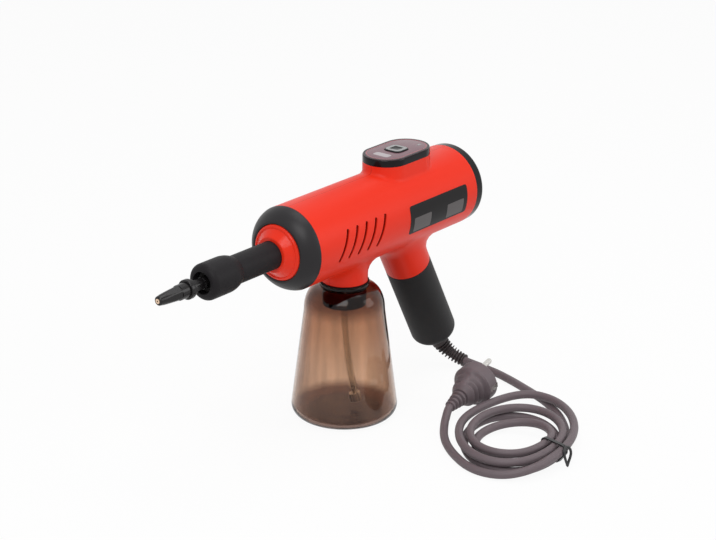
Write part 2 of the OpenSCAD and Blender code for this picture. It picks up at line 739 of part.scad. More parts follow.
// Boiler: a die-cast body carried by two heat-proof discs, with its thermostat and thermal fuse
carrier_t = 5;
carrier_in = [9, 14];
carrier_x = [boiler_back + carrier_in[0], boiler_front - carrier_in[1]];
band_h = 1.2;
band_w = 3;
end_band = 4;
port_depth = 8;
pad_ahead = 6;
pad_x = boiler_back + boiler_len / 2 + pad_ahead;
pad_w = 17;
pad_t = 6;
module boiler() {
    color("lightgray") difference() {
        union() {
            rod_x(boiler_r - band_h, boiler_back, boiler_front, boiler_up);
            for (x = carrier_x) rod_x(boiler_r, x - band_w, x + carrier_t + band_w, boiler_up);
            for (x = [boiler_back, boiler_front - end_band]) rod_x(boiler_r, x, x + end_band, boiler_up);
            translate([pad_x - pad_w / 2, -boiler_r, barrel_z + boiler_up - pad_w / 2])
                cube([pad_w, pad_t, pad_w]);
        }
        rod_x(pipe_r - pipe_wall, boiler_front - port_depth, boiler_front + eps);
        rod_x(hose_bore_r, boiler_back - eps, boiler_back + port_depth, pump_up);
    }
}
// A disc that fills the barrel, with a round seat and a notch at the bottom for the hose
notch_side = 1;
notch_over = 0.6;
module carrier(x, seat_r, up, t) {
    half = hose_r + notch_side;
    difference() {
        rod_x(cavity_r - fit, x, x + t);
        rod_x(seat_r, x - eps, x + t + eps, up);
        translate([x - eps, -half, barrel_z - barrel_r])
            cube([t + 2 * eps, 2 * half, barrel_r + elbow_up + hose_r + notch_over]);
    }
}
module boiler_carriers() {
    color(heat_board) for (x = carrier_x) carrier(x, boiler_r + fit, boiler_up, carrier_t);
}
thermostat_r = 8;
thermostat_cap_r = 6;
thermostat_t = 5.2;
thermostat_cap = 2;
module thermostat() {
    color(gloss_black) translate([pad_x, -boiler_r, barrel_z + boiler_up]) rotate([90, 0, 0]) {
        cylinder(r = thermostat_r, h = thermostat_t - thermostat_cap);
        cylinder(r = thermostat_cap_r, h = thermostat_t);
    }
}
fuse_r = 2;
fuse_len = 14;
fuse_in = 18;
fuse_gap = 0.2;
module thermal_fuse() {
    start = boiler_back + fuse_in;
    color("white") translate([0, band_h - boiler_r - fuse_r - fuse_gap, 0])
        rod_x(fuse_r, start, start + fuse_len, boiler_up);
}

// Pump: a vibrating-plunger pump in rubber rings, set ahead of the hose that turns round behind it
pump_up = -2.4;
pump_nipple = 6;
turn_r = (pump_up - elbow_up) / 2;
turn_lead = 1;
turn_clear = 8.5;
turn_x = cap_inside + turn_clear + hose_r + turn_r;
pump_back = turn_x + turn_lead + pump_nipple;
pump_front = pump_back + pump_len;
mount_w = 6;
mount_t = 3;
mount_in = 4;
mount_x = [pump_back + mount_in, pump_front - mount_in - mount_w];
chamber_end = 9;
plunger_rest = 1;
groove_in = 13;
groove_w = 2;
groove_d = 1;
module water_pump() {
    inlet = pump_back - pump_nipple;
    outlet = pump_front + pump_nipple;
    color("steelblue") difference() {
        union() {
            rod_x(pump_r, pump_back, pump_front, pump_up);
            rod_x(nipple_r, inlet, outlet, pump_up);
        }
        rod_x(nipple_bore_r, inlet - eps, outlet + eps, pump_up);
        rod_x(plunger_r + run, pump_back + chamber_end, pump_front - chamber_end, pump_up);
        for (x = [pump_back + groove_in, pump_front - groove_in - groove_w])
            ring_x(pump_r + eps, pump_r - groove_d, x, x + groove_w, pump_up);
    }
}
module pump_plunger() {
    end_room = chamber_end + plunger_travel + plunger_rest;
    color(metal) rod_x(plunger_r, pump_back + end_room, pump_front - end_room, pump_up);
}
module pump_mounts() {
    color(black) for (x = mount_x) ring_x(pump_r + mount_t, pump_r + fit / 2, x, x + mount_w, pump_up);
}
module pump_cradle() {
    color(heat_board) for (x = mount_x) carrier(x, pump_r + mount_t + fit, pump_up, mount_w);
}
module feed_hose() {
    color(clear_hose) ring_x(hose_r, hose_bore_r, pump_front + hose_gap, boiler_back, pump_up);
}
// Inlet hose: from the elbow back under the pump, then round half a turn into the pump's rear
module inlet_path(r, over = 0) {
    rod_x(r, turn_x, -elbow_r - hose_gap + over, elbow_up);
    rod_x(r, turn_x, pump_back - hose_gap + over, pump_up);
    translate([turn_x, 0, barrel_z + elbow_up + turn_r]) rotate([90, 0, 0]) rotate([0, 0, 90])
        rotate_extrude(angle = 180) translate([turn_r, 0]) circle(r = r);
}
module inlet_hose() {
    color(clear_hose) difference() {
        inlet_path(hose_r);
        inlet_path(hose_bore_r, eps);
    }
}

// Handle: rubber grip over the core, the power board and the cord's clamp inside
module grip_sleeve() {
    inner = core_r + fit;
    color(black) in_handle() rotate_extrude() polygon(concat([[relief_hole_r, 0]],
        arc(handle_r - grip_round, grip_round, grip_round, -90, 0, 8),
        [[handle_r, grip_len - fit], [inner, grip_len - fit], [inner, end_wall], [relief_hole_r, end_wall]]));
}
power_x = 6.5;
power_z = 26;
power_len = 44;
power_play = 0.3;
power_half = sqrt(pow(core_bore_r, 2) - pow(power_x + board_t, 2)) - power_play;
block_size = [5, 10, 8];
block_z = [50, 62];
module power_board() {
    color("darkgreen") in_handle() translate([power_x, -power_half, power_z])
        cube([board_t, 2 * power_half, power_len]);
    color(black) in_handle() for (z = block_z)
        translate([power_x - block_size.x, -block_size.y / 2, z]) cube(block_size);
}
clamp_in = 3;
clamp_t = 6;
clamp_slot = 1.6;
clamp_slot_x = -2;
module cable_clamp() {
    color("dimgray") in_handle() translate([0, 0, end_wall + clamp_in]) difference() {
        cylinder(r = core_bore_r - fit, h = clamp_t);
        translate([0, 0, -eps]) cylinder(r = cord_r + fit, h = clamp_t + 2 * eps);
        translate([clamp_slot_x, -core_bore_r, clamp_t / 2]) cube([clamp_slot, 2 * core_bore_r, clamp_t]);
    }
}
relief_root = 1;
relief_flange_t = 2;
relief_flange_w = 2.5;
inner_cord_len = 16;
module cord_inner() {
    color(grey) in_handle() translate([0, 0, end_wall + fit + relief_flange_t])
        cylinder(r = cord_r, h = inner_cord_len);
}

// Strain relief: a smooth collar and a row of fins along an arc that turns from the handle towards +Y
relief_turn = 80;
relief_gap = 0.2;
relief_r0 = 8;
relief_r1 = 6.6;
relief_r2 = 5.1;
collar_turn = 24;
collar_steps = 3;
fin_depth = 1.3;
relief_sides = 12;
function relief_point(a) = [0, relief_bend * (1 - cos(a)), -relief_gap - relief_bend * sin(a)];
function relief_heading(a) = [0, sin(a), -cos(a)];
fin_step = (relief_turn - collar_turn) / relief_fins;
// Angle and radius of every ring: the collar, then each fin's crest and the groove after it
fin_shape = [[0.12, fin_depth], [0.45, fin_depth], [0.55, 0], [0.98, 0]];
relief_rings = concat(
    [for (i = [0:collar_steps]) let (t = i / collar_steps)
        [collar_turn * t, relief_r0 + (relief_r1 - relief_r0) * t]],
    [for (i = [0:relief_fins - 1], k = fin_shape)
        let (r = relief_r1 + (relief_r2 - relief_r1) * (i + 1) / relief_fins)
        [collar_turn + fin_step * (i + k[0]), r - k[1]]],
    [[relief_turn, relief_r2]]);
module strain_relief() {
    points = [for (g = relief_rings)
        each ring_at(relief_point(g[0]), relief_heading(g[0]), g[1], relief_sides, [1, 0, 0])];
    color(black) in_handle() {
        tube(points, len(relief_rings), relief_sides);
        translate([0, 0, -relief_root])
            cylinder(r = relief_hole_r - 2 * fit, h = end_wall + fit + relief_root);
        translate([0, 0, end_wall + fit]) cylinder(r = relief_hole_r + relief_flange_w, h = relief_flange_t);
    }
}

// Mains cord: from the relief over the floor, round a two-layer oval coil and on to the plug
cord_sides = 8;
function to_world(p) = grip_end + p.x * handle_side + [0, p.y, 0] + p.z * handle_up;
relief_out = to_world(relief_point(relief_turn));
relief_dir = sin(relief_turn) * [0, 1, 0] - cos(relief_turn) * handle_up;
floor_gap = 0.1;
cord_z = cord_r + floor_gap;
lead_points = [[-140.6, 35, 5.3], [-141.5, 46, 4.2], [-140.5, 58, 3.7], [-136.5, 74, cord_z],
    [-129.5, 95, cord_z], [-117, 126, cord_z], [-100, 152, cord_z], [-82, 170, cord_z]];

// The coil lies in its own frame on the floor: u to the right as seen from the tool's left, v to the viewer.
// It spirals in on the floor, climbs in the half turn where it reverses, and spirals out on top.
coil_at = [-43.4, 148.5];
coil_u = unit([-0.63, 0.777]);
coil_v = unit([0.777, 0.63]);
coil_rate = 0.53;
coil_in = 95;
coil_reverse = 630;
coil_climb = 180;
coil_out = 1570;
layer_gap = 0.8;
layer_step = 2 * cord_r + layer_gap;
tie_turn = 125;
tie_lift = 1.9;
sag_from = 1345;
sag_to = 1462;
sag = 4;
// How far in a turn lies: 0 on the outer oval, 1 on the inner one
function coil_depth(a) = a < coil_reverse ? 1 - coil_rate * (coil_reverse - a) / 360
    : a < coil_reverse + coil_climb ? 1 : 1 - coil_rate * (a - coil_reverse - coil_climb) / 360;
function smooth(s) = let (c = max(0, min(1, s))) c * c * (3 - 2 * c);
function coil_height(a) = cord_z + layer_step * smooth((a - coil_reverse) / coil_climb)
    + tie_lift * pow(max(0, cos(a - tie_turn)), 6)
    - (a > sag_from && a < sag_to ? sag * pow(sin(180 * (a - sag_from) / (sag_to - sag_from)), 2) : 0);
// Each oval: half width, half depth, its middle and its slant
outer_oval = [48.5, 74, -3, -1, 0.12];
inner_oval = [31, 31.5, -4, 10.5, 0.06];
function coil_point(a) =
    let (o = outer_oval + (inner_oval - outer_oval) * coil_depth(a), v = -o[1] * cos(a),
         q = coil_at + (o[2] + o[0] * sin(a) - o[4] * v) * coil_u + (o[3] + v) * coil_v)
    [q.x, q.y, coil_height(a)];
coil_sides = 6;
coil_rings = 98;
coil_path = [for (i = [0:coil_rings]) coil_point(coil_in + (coil_out - coil_in) * i / coil_rings)];
coil_start_dir = unit(coil_point(coil_in + 0.5) - coil_point(coil_in));
coil_end_dir = unit(coil_point(coil_out) - coil_point(coil_out - 0.5));
tail_points = [[-10.5, 201.6, 12], [1, 199, 10], [11.5, 193, 7.6], [19.5, 184, 5.3], [24.5, 173, 4],
    [26.5, 160.5, cord_z], [24.5, 147, cord_z], [18, 132.5, cord_z], [9.5, 119, cord_z],
    [-3, 104.5, cord_z], [-19, 91.5, 4], [-31, 84.2, 7]];
plug_dir = unit([-0.985, -0.083, 0.16]);
plug_end = [-42, 80.3, 12.4];
lead_path = concat([relief_out], lead_points, [coil_point(coil_in)]);
tail_path = concat([coil_point(coil_out)], tail_points, [plug_end]);
module cord_lead() { color(grey) sweep(lead_path, cord_r, cord_sides, relief_dir, coil_start_dir); }
module cord_coil() { color(grey) sweep(coil_path, cord_r, coil_sides, coil_start_dir, coil_end_dir); }
module cord_tail() { color(grey) sweep(tail_path, cord_r, cord_sides, coil_end_dir, plug_dir); }
// The least gap of the coil to itself, on points a few degrees apart and half a turn or more along
gap_step = 5;
gap_points = [for (a = [coil_in:gap_step:coil_out]) coil_point(a)];
coil_gap = min([for (i = [0:len(gap_points) - 1], j = [i + 180 / gap_step:1:len(gap_points) - 1])
    norm(gap_points[i] - gap_points[j])]) - 2 * cord_r;
echo(coil_gap = coil_gap);
function path_length(path, i = 1) =
    i == len(path) ? 0 : norm(path[i] - path[i - 1]) + path_length(path, i + 1);
echo(cord_length = path_length(lead_path) + path_length(gap_points) + path_length(tail_path));

// Tie: a flat twist tie round all the strands, with a loop where its ends are twisted together
tie_t = 0.9;
tie_w = 3;
tie_play = 0.8;
tie_loop = [13, 4.6, 1.2];
tie_drop = 2;
tie_slope = 12;
tie_inner_turn = tie_turn + 2 * 360;
tie_outer_turn = tie_turn + 4 * 360;
module cord_tie() {
    outer = coil_point(tie_outer_turn);
    inner = coil_point(tie_inner_turn);
    across = [outer.x - inner.x, outer.y - inner.y];
    low = cord_z + tie_lift - cord_r - tie_play;
    high = cord_z + layer_step + tie_lift + cord_r + tie_play;
    width = norm(across) + 2 * (cord_r + 2 * tie_play);
    color(black) translate([(outer.x + inner.x) / 2, (outer.y + inner.y) / 2, (low + high) / 2])
        rotate([0, 0, atan2(across.y, across.x)]) {
            rotate([90, 0, 0]) linear_extrude(tie_w, center = true) difference() {
                rounded_square(width + 2 * tie_t, high - low + 2 * tie_t, cord_r + tie_t);
                rounded_square(width, high - low, cord_r);
            }
            translate([(width + tie_loop.x) / 2, 0, -tie_drop]) rotate([0, tie_slope, 0])
                linear_extrude(tie_loop.z, center = true) difference() {
                    racetrack_2d(tie_loop.x, tie_loop.y);
                    racetrack_2d(tie_loop.x - 2 * tie_loop.z, tie_loop.y - 2 * tie_loop.z);
                }
        }
}

// Plug: lies on its rim and its cord end, with one pin above the other
plug_len = 48;
plug_edge = 1.2;
plug_neck = 17;
plug_ribs = 4;
plug_rib_r = [4.8, 7];
rib_depth = 1.1;
// Along each rib and its groove: the share of its length, and the share of the rib's depth cut away
rib_shape = [[0, 0], [0.55, 0], [0.65, 1], [0.95, 1]];
// From the neck to the head: how far in from the face's rim, and how far along from the neck
plug_steps = [[10.4, 0], [7.5, 3.5], [5.5, 9], [4, 14], [1.4, 16.5], [0, 19]];
plug_form = [for (p = plug_steps) [plug_r - p[0], plug_neck + p[1]]];
scallop_r = 2.2;
scallop_depth = 1.3;
scallop_count = 3;
scallop_pitch = 4.6;
scallop_z = 33;
pin_r = 2.4;
pin_len = 19;
pin_gap = 19;
clip_w = 4.4;
clip_t = 1.2;
clip_len = 11;
module at_plug() {
    translate(plug_end) rotate([0, 0, atan2(plug_dir.y, plug_dir.x)])
        rotate([0, 90 - asin(plug_dir.z), 0]) children();
}
module clip_bars(play) {
    for (s = [-1, 1]) translate([-clip_w / 2 - play, s * (plug_r - clip_t / 2) - clip_t / 2 - play,
            plug_len - clip_len])
        cube([clip_w + 2 * play, clip_t + 2 * play, clip_len]);
}
// Finger grips: notches across both sides of the body, each a little into its form
module scallops() {
    form = [for (p = plug_form) [p[1], p[0]]];
    for (s = [-1, 1], i = [0:scallop_count - 1]) let (z = scallop_z - scallop_pitch * i)
        translate([0, s * (lookup(z, form) + scallop_r - scallop_depth), z]) rotate([0, 90, 0])
            cylinder(r = scallop_r, h = 2 * plug_r, center = true);
}
module plug_body() {
    pitch = plug_neck / plug_ribs;
    color(grey) at_plug() difference() {
        rotate_extrude() polygon(concat([[0, 0]],
            [for (i = [0:plug_ribs - 1], k = rib_shape)
                let (t = i / (plug_ribs - 1), r = plug_rib_r[0] + (plug_rib_r[1] - plug_rib_r[0]) * t)
                [r - rib_depth * k[1], pitch * (i + k[0])]],
            plug_form,
            arc(plug_r - plug_edge, plug_len - plug_edge, plug_edge, 0, 90, 4), [[0, plug_len]]));
        scallops();
        clip_bars(fit);
    }
}
module plug_clips() { color(metal) at_plug() clip_bars(0); }
module plug_pins() {
    color(metal) at_plug() for (s = [-1, 1]) translate([s * pin_gap / 2, 0, plug_len]) {
        cylinder(r = pin_r, h = pin_len - pin_r);
        translate([0, 0, pin_len - pin_r]) sphere(r = pin_r);
    }
}

bottle();
bottle_seal();
inlet_spigot();
dip_hose();
hose_filter();
body_shell_left();
body_shell_right();
housing_screws();
front_ring();
front_collar();
lance_tube();
lance_sleeve();
steam_pipe();
nozzle_washer();
jet_nozzle();
jet_orifice();
rear_cap();
panel_bezel();
panel_window();
panel_button();
control_board();
tact_switch();
boiler();
boiler_carriers();
thermostat();
thermal_fuse();
feed_hose();
water_pump();
pump_plunger();
pump_mounts();
pump_cradle();
inlet_hose();
grip_sleeve();
power_board();
cable_clamp();
cord_inner();
strain_relief();
cord_lead();
cord_coil();
cord_tie();
cord_tail();
plug_body();
plug_pins();
plug_clips();
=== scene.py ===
"""A handheld steam cleaner that stands on its screw-on water bottle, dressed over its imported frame.

Shapes are worked out in millimetres, in the frame's own axes: +X along the lance, +Y to the tool's left
and +Z up.
"""

import bmesh
import bpy
import numpy as np
from mathutils import Matrix


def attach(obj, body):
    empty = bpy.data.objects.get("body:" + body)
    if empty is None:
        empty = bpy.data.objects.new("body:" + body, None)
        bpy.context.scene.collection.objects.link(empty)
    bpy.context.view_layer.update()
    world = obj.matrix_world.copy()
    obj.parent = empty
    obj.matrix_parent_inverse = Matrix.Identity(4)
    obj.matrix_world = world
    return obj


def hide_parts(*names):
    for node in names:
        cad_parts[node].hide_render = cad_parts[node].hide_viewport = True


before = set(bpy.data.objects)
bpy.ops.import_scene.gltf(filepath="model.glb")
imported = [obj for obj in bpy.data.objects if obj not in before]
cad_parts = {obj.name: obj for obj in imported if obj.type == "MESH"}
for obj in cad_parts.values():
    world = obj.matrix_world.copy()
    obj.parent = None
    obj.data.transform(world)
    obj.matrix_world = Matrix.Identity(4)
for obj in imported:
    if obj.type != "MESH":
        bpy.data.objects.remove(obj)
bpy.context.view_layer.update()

# Studio: a sheet of white paper in a white room, under three soft boxes, with the eye at the front left.
# Both read white to the eye, in gloss and through the bottle, and the paper still takes a shadow.
view_azimuth, view_height, view_roll = np.radians((128.99, 20.88, 0.24))
view_aim = np.array((-0.01775, 0, 0.1227))
view_distance = 1.80448
view_lens = 108.74

back = np.array((np.sin(view_azimuth) * np.cos(view_height),
                 -np.cos(view_azimuth) * np.cos(view_height), np.sin(view_height)))
level = np.array((np.cos(view_azimuth), np.sin(view_azimuth), 0))
upright = np.cross(back, level)
right = np.cos(view_roll) * level + np.sin(view_roll) * upright
above = np.cos(view_roll) * upright - np.sin(view_roll) * level


def stand(name, data, axes, place):
    """Puts a camera or a lamp at a place, with its right, top and back along three axes."""
    made = bpy.data.objects.new(name, data)
    made.matrix_world = Matrix(np.vstack([np.column_stack([*axes, place]), (0, 0, 0, 1)]).tolist())
    bpy.context.collection.objects.link(made)
    return made


eye = view_aim + view_distance * back
camera = stand("camera", bpy.data.cameras.new("camera"), (right, above, back), eye)
camera.data.lens = view_lens
bpy.context.scene.camera = camera
bpy.context.scene.view_settings.view_transform = "Standard"


def add_node(tree, kind, inputs=None, **settings):
    """Adds a node; an input that is given another node's socket is linked to it, any other is set."""
    node = tree.nodes.new(kind)
    for key, value in settings.items():
        setattr(node, key, value)
    for key, value in (inputs or {}).items():
        if isinstance(value, bpy.types.NodeSocket):
            tree.links.new(value, node.inputs[key])
        else:
            node.inputs[key].default_value = value
    return node


def reckon(tree, operation, *values):
    """The result of a sum, a product or the like on sockets and numbers."""
    return add_node(tree, "ShaderNodeMath", dict(enumerate(values)), operation=operation).outputs[0]


def seen_rays(tree):
    """1 for rays from the eye, in gloss and through glass, and 0 for the light that surfaces scatter."""
    rays = add_node(tree, "ShaderNodeLightPath").outputs
    seen = reckon(tree, "MAXIMUM", rays["Is Camera Ray"], rays["Is Glossy Ray"])
    return reckon(tree, "MAXIMUM", seen, rays["Is Transmission Ray"])


room_light = 0.4
room = bpy.data.worlds.new("room")
bpy.context.scene.world = room
room.use_nodes = True
tree = room.node_tree
strength = reckon(tree, "MULTIPLY_ADD", seen_rays(tree), 1 - room_light, room_light)
tree.nodes["Background"].inputs["Color"].default_value = (1, 1, 1, 1)
tree.links.new(strength, tree.nodes["Background"].inputs["Strength"])

paper_half, paper_drop, paper_glow, paper_tone = 4.0, 0.0003, 0.93, 0.86
paper = bpy.data.materials.new("white_paper")
paper.use_nodes = True
tree = paper.node_tree
tree.nodes.clear()
matt = add_node(tree, "ShaderNodeBsdfDiffuse", {"Color": (paper_tone, paper_tone, paper_tone, 1)})
glow = add_node(tree, "ShaderNodeEmission", {"Color": (1, 1, 1, 1), "Strength": 1.0})
share = reckon(tree, "MULTIPLY", seen_rays(tree), paper_glow)
mixed = add_node(tree, "ShaderNodeMixShader", {0: share, 1: matt.outputs[0], 2: glow.outputs[0]})
add_node(tree, "ShaderNodeOutputMaterial", {"Surface": mixed.outputs[0]})
paper_corners = paper_half * np.array([(-1, -1, 0), (1, -1, 0), (1, 1, 0), (-1, 1, 0)]) - (0, 0, paper_drop)
sheet = bpy.data.meshes.new("paper_floor")
sheet.from_pydata(paper_corners.tolist(), [], [(0, 1, 2, 3)])
sheet.materials.append(paper)
floor = bpy.data.objects.new("paper_floor", sheet)
bpy.context.collection.objects.link(floor)


def unit(vectors):
    """Vectors over their own lengths."""
    return np.array(vectors) / np.linalg.norm(vectors, axis=-1, keepdims=True)


def soft_box(name, place, aim, size, watts):
    """A square area lamp at place that faces aim."""
    lamp = bpy.data.lights.new(name, "AREA")
    lamp.size = size
    lamp.energy = watts
    away = unit(np.subtract(place, aim))
    side = unit(np.cross((0, 0, 1), away))
    stand(name, lamp, (side, np.cross(away, side), away), place)


soft_box("key_box", (1.2, 0.7, 1.5), (0, 0, 0.15), 1.0, 15.5)
soft_box("top_box", (-0.3, 0.1, 1.9), (-0.05, 0, 0.15), 1.2, 11)
soft_box("side_box", (-0.9, 1.5, 0.8), (-0.05, 0, 0.12), 0.9, 6.5)

# Bottle: blow-moulded from clear amber plastic. Its foot and shoulder carry painted shade, and its upright
# streaks are partly painted reflections.
# It screws up against the seal, so it turns and drops as one piece.
mm = 0.001
bottle_base_r, bottle_corner_r, bottle_h = 44.8, 9.0, 118.4
bottle_shoulder_r, bottle_shoulder_z = 33.9, 94.5
bottle_lip_h, bottle_wall, mouth_r, rim_wall, rim_round = 2.4, 2.0, 18.4, 2.2, 0.6
dish_r, dish_h, bead_h, bead_w, floor_t, corner_rise = 34.5, 1.5, 0.5, 2.0, 3.2, 1.0
bottle_axis = ((0, 0, 0), (0, 0, 1), (1, 0, 0))


def paint(red, green, blue):
    """A colour as a paint chart gives it, 0 to 255, turned into light levels."""
    chart = np.array((red, green, blue)) / 255
    light = np.where(chart <= 0.04045, chart / 12.92, ((chart + 0.055) / 1.055) ** 2.4)
    return (*light.tolist(), 1.0)


def arc(centre_r, centre_d, radius, start, end, count=10):
    """Points (radius, distance) on a circle's arc about a centre, from start to end in degrees."""
    turn = np.radians(np.linspace(start, end, count + 1))
    return np.column_stack([centre_r + radius * np.cos(turn), centre_d + radius * np.sin(turn)])


def turned(profile, axis, count=128, swell=None):
    """Turns a profile about an axis: a point (r, d) goes to
    origin + d * along + r * (cos t * side + sin t * across).
    swell(d, t), where it is given, adds to the radius."""
    origin, along, side = (np.array(part, float) for part in axis)
    across = np.cross(along, side)
    turn = np.linspace(0, 2 * np.pi, count, endpoint=False)
    radius = np.repeat(profile[:, :1], count, axis=1)
    if swell:
        radius = np.maximum(radius + swell(profile[:, 1:2], turn[None, :]) * (radius > 0), 0)
    spoke = np.cos(turn)[:, None] * side + np.sin(turn)[:, None] * across
    return origin + profile[:, 1][:, None, None] * along + radius[:, :, None] * spoke[None]


def mount(mesh, material, body, nodes, crease, turn_out=True):
    """Merges a mesh's points, turns its faces outwards and shades it smooth up to the crease angle.
    It then rides on a body, takes the given material and stands for CAD nodes."""
    skin = bmesh.new()
    skin.from_mesh(mesh)
    bmesh.ops.remove_doubles(skin, verts=skin.verts, dist=1e-7)
    if turn_out:
        bmesh.ops.recalc_face_normals(skin, faces=skin.faces)
    skin.to_mesh(mesh)
    skin.free()
    mesh.shade_smooth()
    mesh.set_sharp_from_angle(angle=crease)
    mesh.materials.append(material)
    made = bpy.data.objects.new(mesh.name, mesh)
    bpy.context.collection.objects.link(made)
    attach(made, body)
    if nodes:
        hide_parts(*nodes)
    return made


def piece(name, grid, material, body, slot, *nodes, loop_rows=False, caps=False, crease=0.6):
    """Makes a closed skin of quads from a grid of points, whose columns join up into loops.
    The rows may join up too. Otherwise they end in poles, or caps fill the first and the last one."""
    rows, columns = grid.shape[:2]
    row = np.arange(rows if loop_rows else rows - 1)[:, None] * columns
    next_row = (row + columns) % (rows * columns)
    column = np.arange(columns)[None, :]
    next_column = (column + 1) % columns
    quads = np.stack([row + column, row + next_column, next_row + next_column, next_row + column], -1)
    faces = quads.reshape(-1, 4).tolist()
    if caps:
        faces += [list(range(columns)), list(range((rows - 1) * columns, rows * columns))]
    mesh = bpy.data.meshes.new(name)
    mesh.from_pydata((grid.reshape(-1, 3) * mm).tolist(), [], faces)
    return mount(mesh, material, body, nodes, crease)


def node_group(name, takes, gives):
    """A group of shader nodes with named sockets: colours where the name says so, and numbers elsewhere."""
    made = bpy.data.node_groups.new(name, "ShaderNodeTree")
    for labels, way in ((takes, "INPUT"), (gives, "OUTPUT")):
        for label in labels:
            kind = "NodeSocketColor" if "Colour" in label else "NodeSocketFloat"
            made.interface.new_socket(label, in_out=way, socket_type=kind)
    return made


def noise(tree, place, scale, detail, roughness=0.5):
    """Smooth noise between 0 and 1, with scale as the number of its waves in a metre."""
    return add_node(tree, "ShaderNodeTexNoise", {"Vector": place, "Scale": scale, "Detail": detail,
                                                 "Roughness": roughness}).outputs["Fac"]


# The skin that every moulded piece shares: slow drifts of shade, a patchy polish and the tool's fine grain.
# Spread and Grain are the numbers of drifts and grains in a metre.
# Draw presses heights, so that a low value draws both long.
patch_spread = 140.0
moulded_skin = node_group("moulded_skin",
                          ("Colour", "Drift", "Roughness", "Patchiness", "Grain", "Draw", "Spread"),
                          ("Colour", "Roughness", "Height"))
given = add_node(moulded_skin, "NodeGroupInput").outputs
place = add_node(moulded_skin, "ShaderNodeTexCoord").outputs["Object"]
press = add_node(moulded_skin, "ShaderNodeCombineXYZ", {"X": 1.0, "Y": 1.0, "Z": given["Draw"]}).outputs[0]
drawn = add_node(moulded_skin, "ShaderNodeVectorMath", {0: place, 1: press},
                 operation="MULTIPLY").outputs[0]
fine = noise(moulded_skin, drawn, given["Grain"], 2.0, 0.6)
swing = reckon(moulded_skin, "SUBTRACT", noise(moulded_skin, drawn, given["Spread"], 3.0), 0.5)
shade = reckon(moulded_skin, "MULTIPLY_ADD", swing, given["Drift"], 1.0)
gleam = reckon(moulded_skin, "SUBTRACT", noise(moulded_skin, place, patch_spread, 4.0), 0.5)
polish = reckon(moulded_skin, "MULTIPLY_ADD", gleam, given["Patchiness"], given["Roughness"])
tint = add_node(moulded_skin, "ShaderNodeVectorMath", {0: given["Colour"], "Scale": shade},
                operation="SCALE")
add_node(moulded_skin, "NodeGroupOutput", {"Colour": tint.outputs[0], "Roughness": polish, "Height": fine})

# A colour that fades with height: the foot's up to one height, the head's from another, and a soft step
# between them.
height_fade = node_group("height_fade", ("Foot Colour", "Head Colour", "Foot", "Head"), ("Colour",))
given = add_node(height_fade, "NodeGroupInput").outputs
place = add_node(height_fade, "ShaderNodeTexCoord").outputs["Object"]
rise = add_node(height_fade, "ShaderNodeSeparateXYZ", {0: place}).outputs["Z"]
step = add_node(height_fade, "ShaderNodeMapRange",
                {"Value": rise, "From Min": given["Foot"], "From Max": given["Head"]},
                interpolation_type="SMOOTHSTEP")
fade = add_node(height_fade, "ShaderNodeMix",
                {0: step.outputs[0], 6: given["Foot Colour"], 7: given["Head Colour"]}, data_type="RGBA")
add_node(height_fade, "NodeGroupOutput", {"Colour": fade.outputs[2]})


def moulding(name, colour, roughness, grain=4000.0, relief=0.02, drift=0.08, patchiness=0.08, draw=1.0,
             spread=28.0, fades=(), **sockets):
    """A moulded or cast finish: the shared skin's colour, polish and grain on one shader.
    relief is the grain's depth in millimetres. Each fade is a colour that takes over between two heights.
    The other sockets are the shader's own, with _ for a space."""
    made = bpy.data.materials.new(name)
    made.use_nodes = True
    tree = made.node_tree
    shader = tree.nodes["Principled BSDF"]
    for head, low, high in fades:
        colour = add_node(tree, "ShaderNodeGroup", {"Foot Colour": colour, "Head Colour": head,
                                                    "Foot": low * mm, "Head": high * mm},
                          node_tree=height_fade).outputs["Colour"]
    skin = add_node(tree, "ShaderNodeGroup", {"Colour": colour, "Drift": drift, "Roughness": roughness,
                                              "Patchiness": patchiness, "Grain": grain, "Draw": draw,
                                              "Spread": spread},
                    node_tree=moulded_skin)
    bump = add_node(tree, "ShaderNodeBump",
                    {"Strength": 1.0, "Distance": relief * mm, "Height": skin.outputs["Height"]})
    tree.links.new(skin.outputs["Colour"], shader.inputs["Base Color"])
    tree.links.new(skin.outputs["Roughness"], shader.inputs["Roughness"])
    tree.links.new(bump.outputs["Normal"], shader.inputs["Normal"])
    for label, value in sockets.items():
        shader.inputs[label.replace("_", " ")].default_value = value
    return made


def lay_over(material, mask, colour):
    """Lays a colour over a finish's own, as far as a mask from 0 to 1 says."""
    tree = material.node_tree
    base = tree.nodes["Principled BSDF"].inputs["Base Color"]
    under = base.links[0].from_socket
    mix = add_node(tree, "ShaderNodeMix", {0: mask, 6: under, 7: colour}, data_type="RGBA")
    tree.links.new(mix.outputs[2], base)


def near(material, origin, axes, low, high):
    """A mask of what lies near an origin, measured along some axes only: 1 up to the low distance,
    0 from the high one, and a soft step between."""
    tree = material.node_tree
    place = add_node(tree, "ShaderNodeTexCoord").outputs["Object"]
    centre = [mm * at for at in origin]
    away = add_node(tree, "ShaderNodeVectorMath", {0: place, 1: centre}, operation="SUBTRACT")
    flat = add_node(tree, "ShaderNodeVectorMath", {0: away.outputs[0], 1: axes}, operation="MULTIPLY")
    off = add_node(tree, "ShaderNodeVectorMath", {0: flat.outputs[0]}, operation="LENGTH").outputs["Value"]
    return add_node(tree, "ShaderNodeMapRange", {"Value": off, "From Min": low * mm, "From Max": high * mm,
                                                 "To Min": 1.0, "To Max": 0.0},
                    interpolation_type="SMOOTHSTEP").outputs[0]


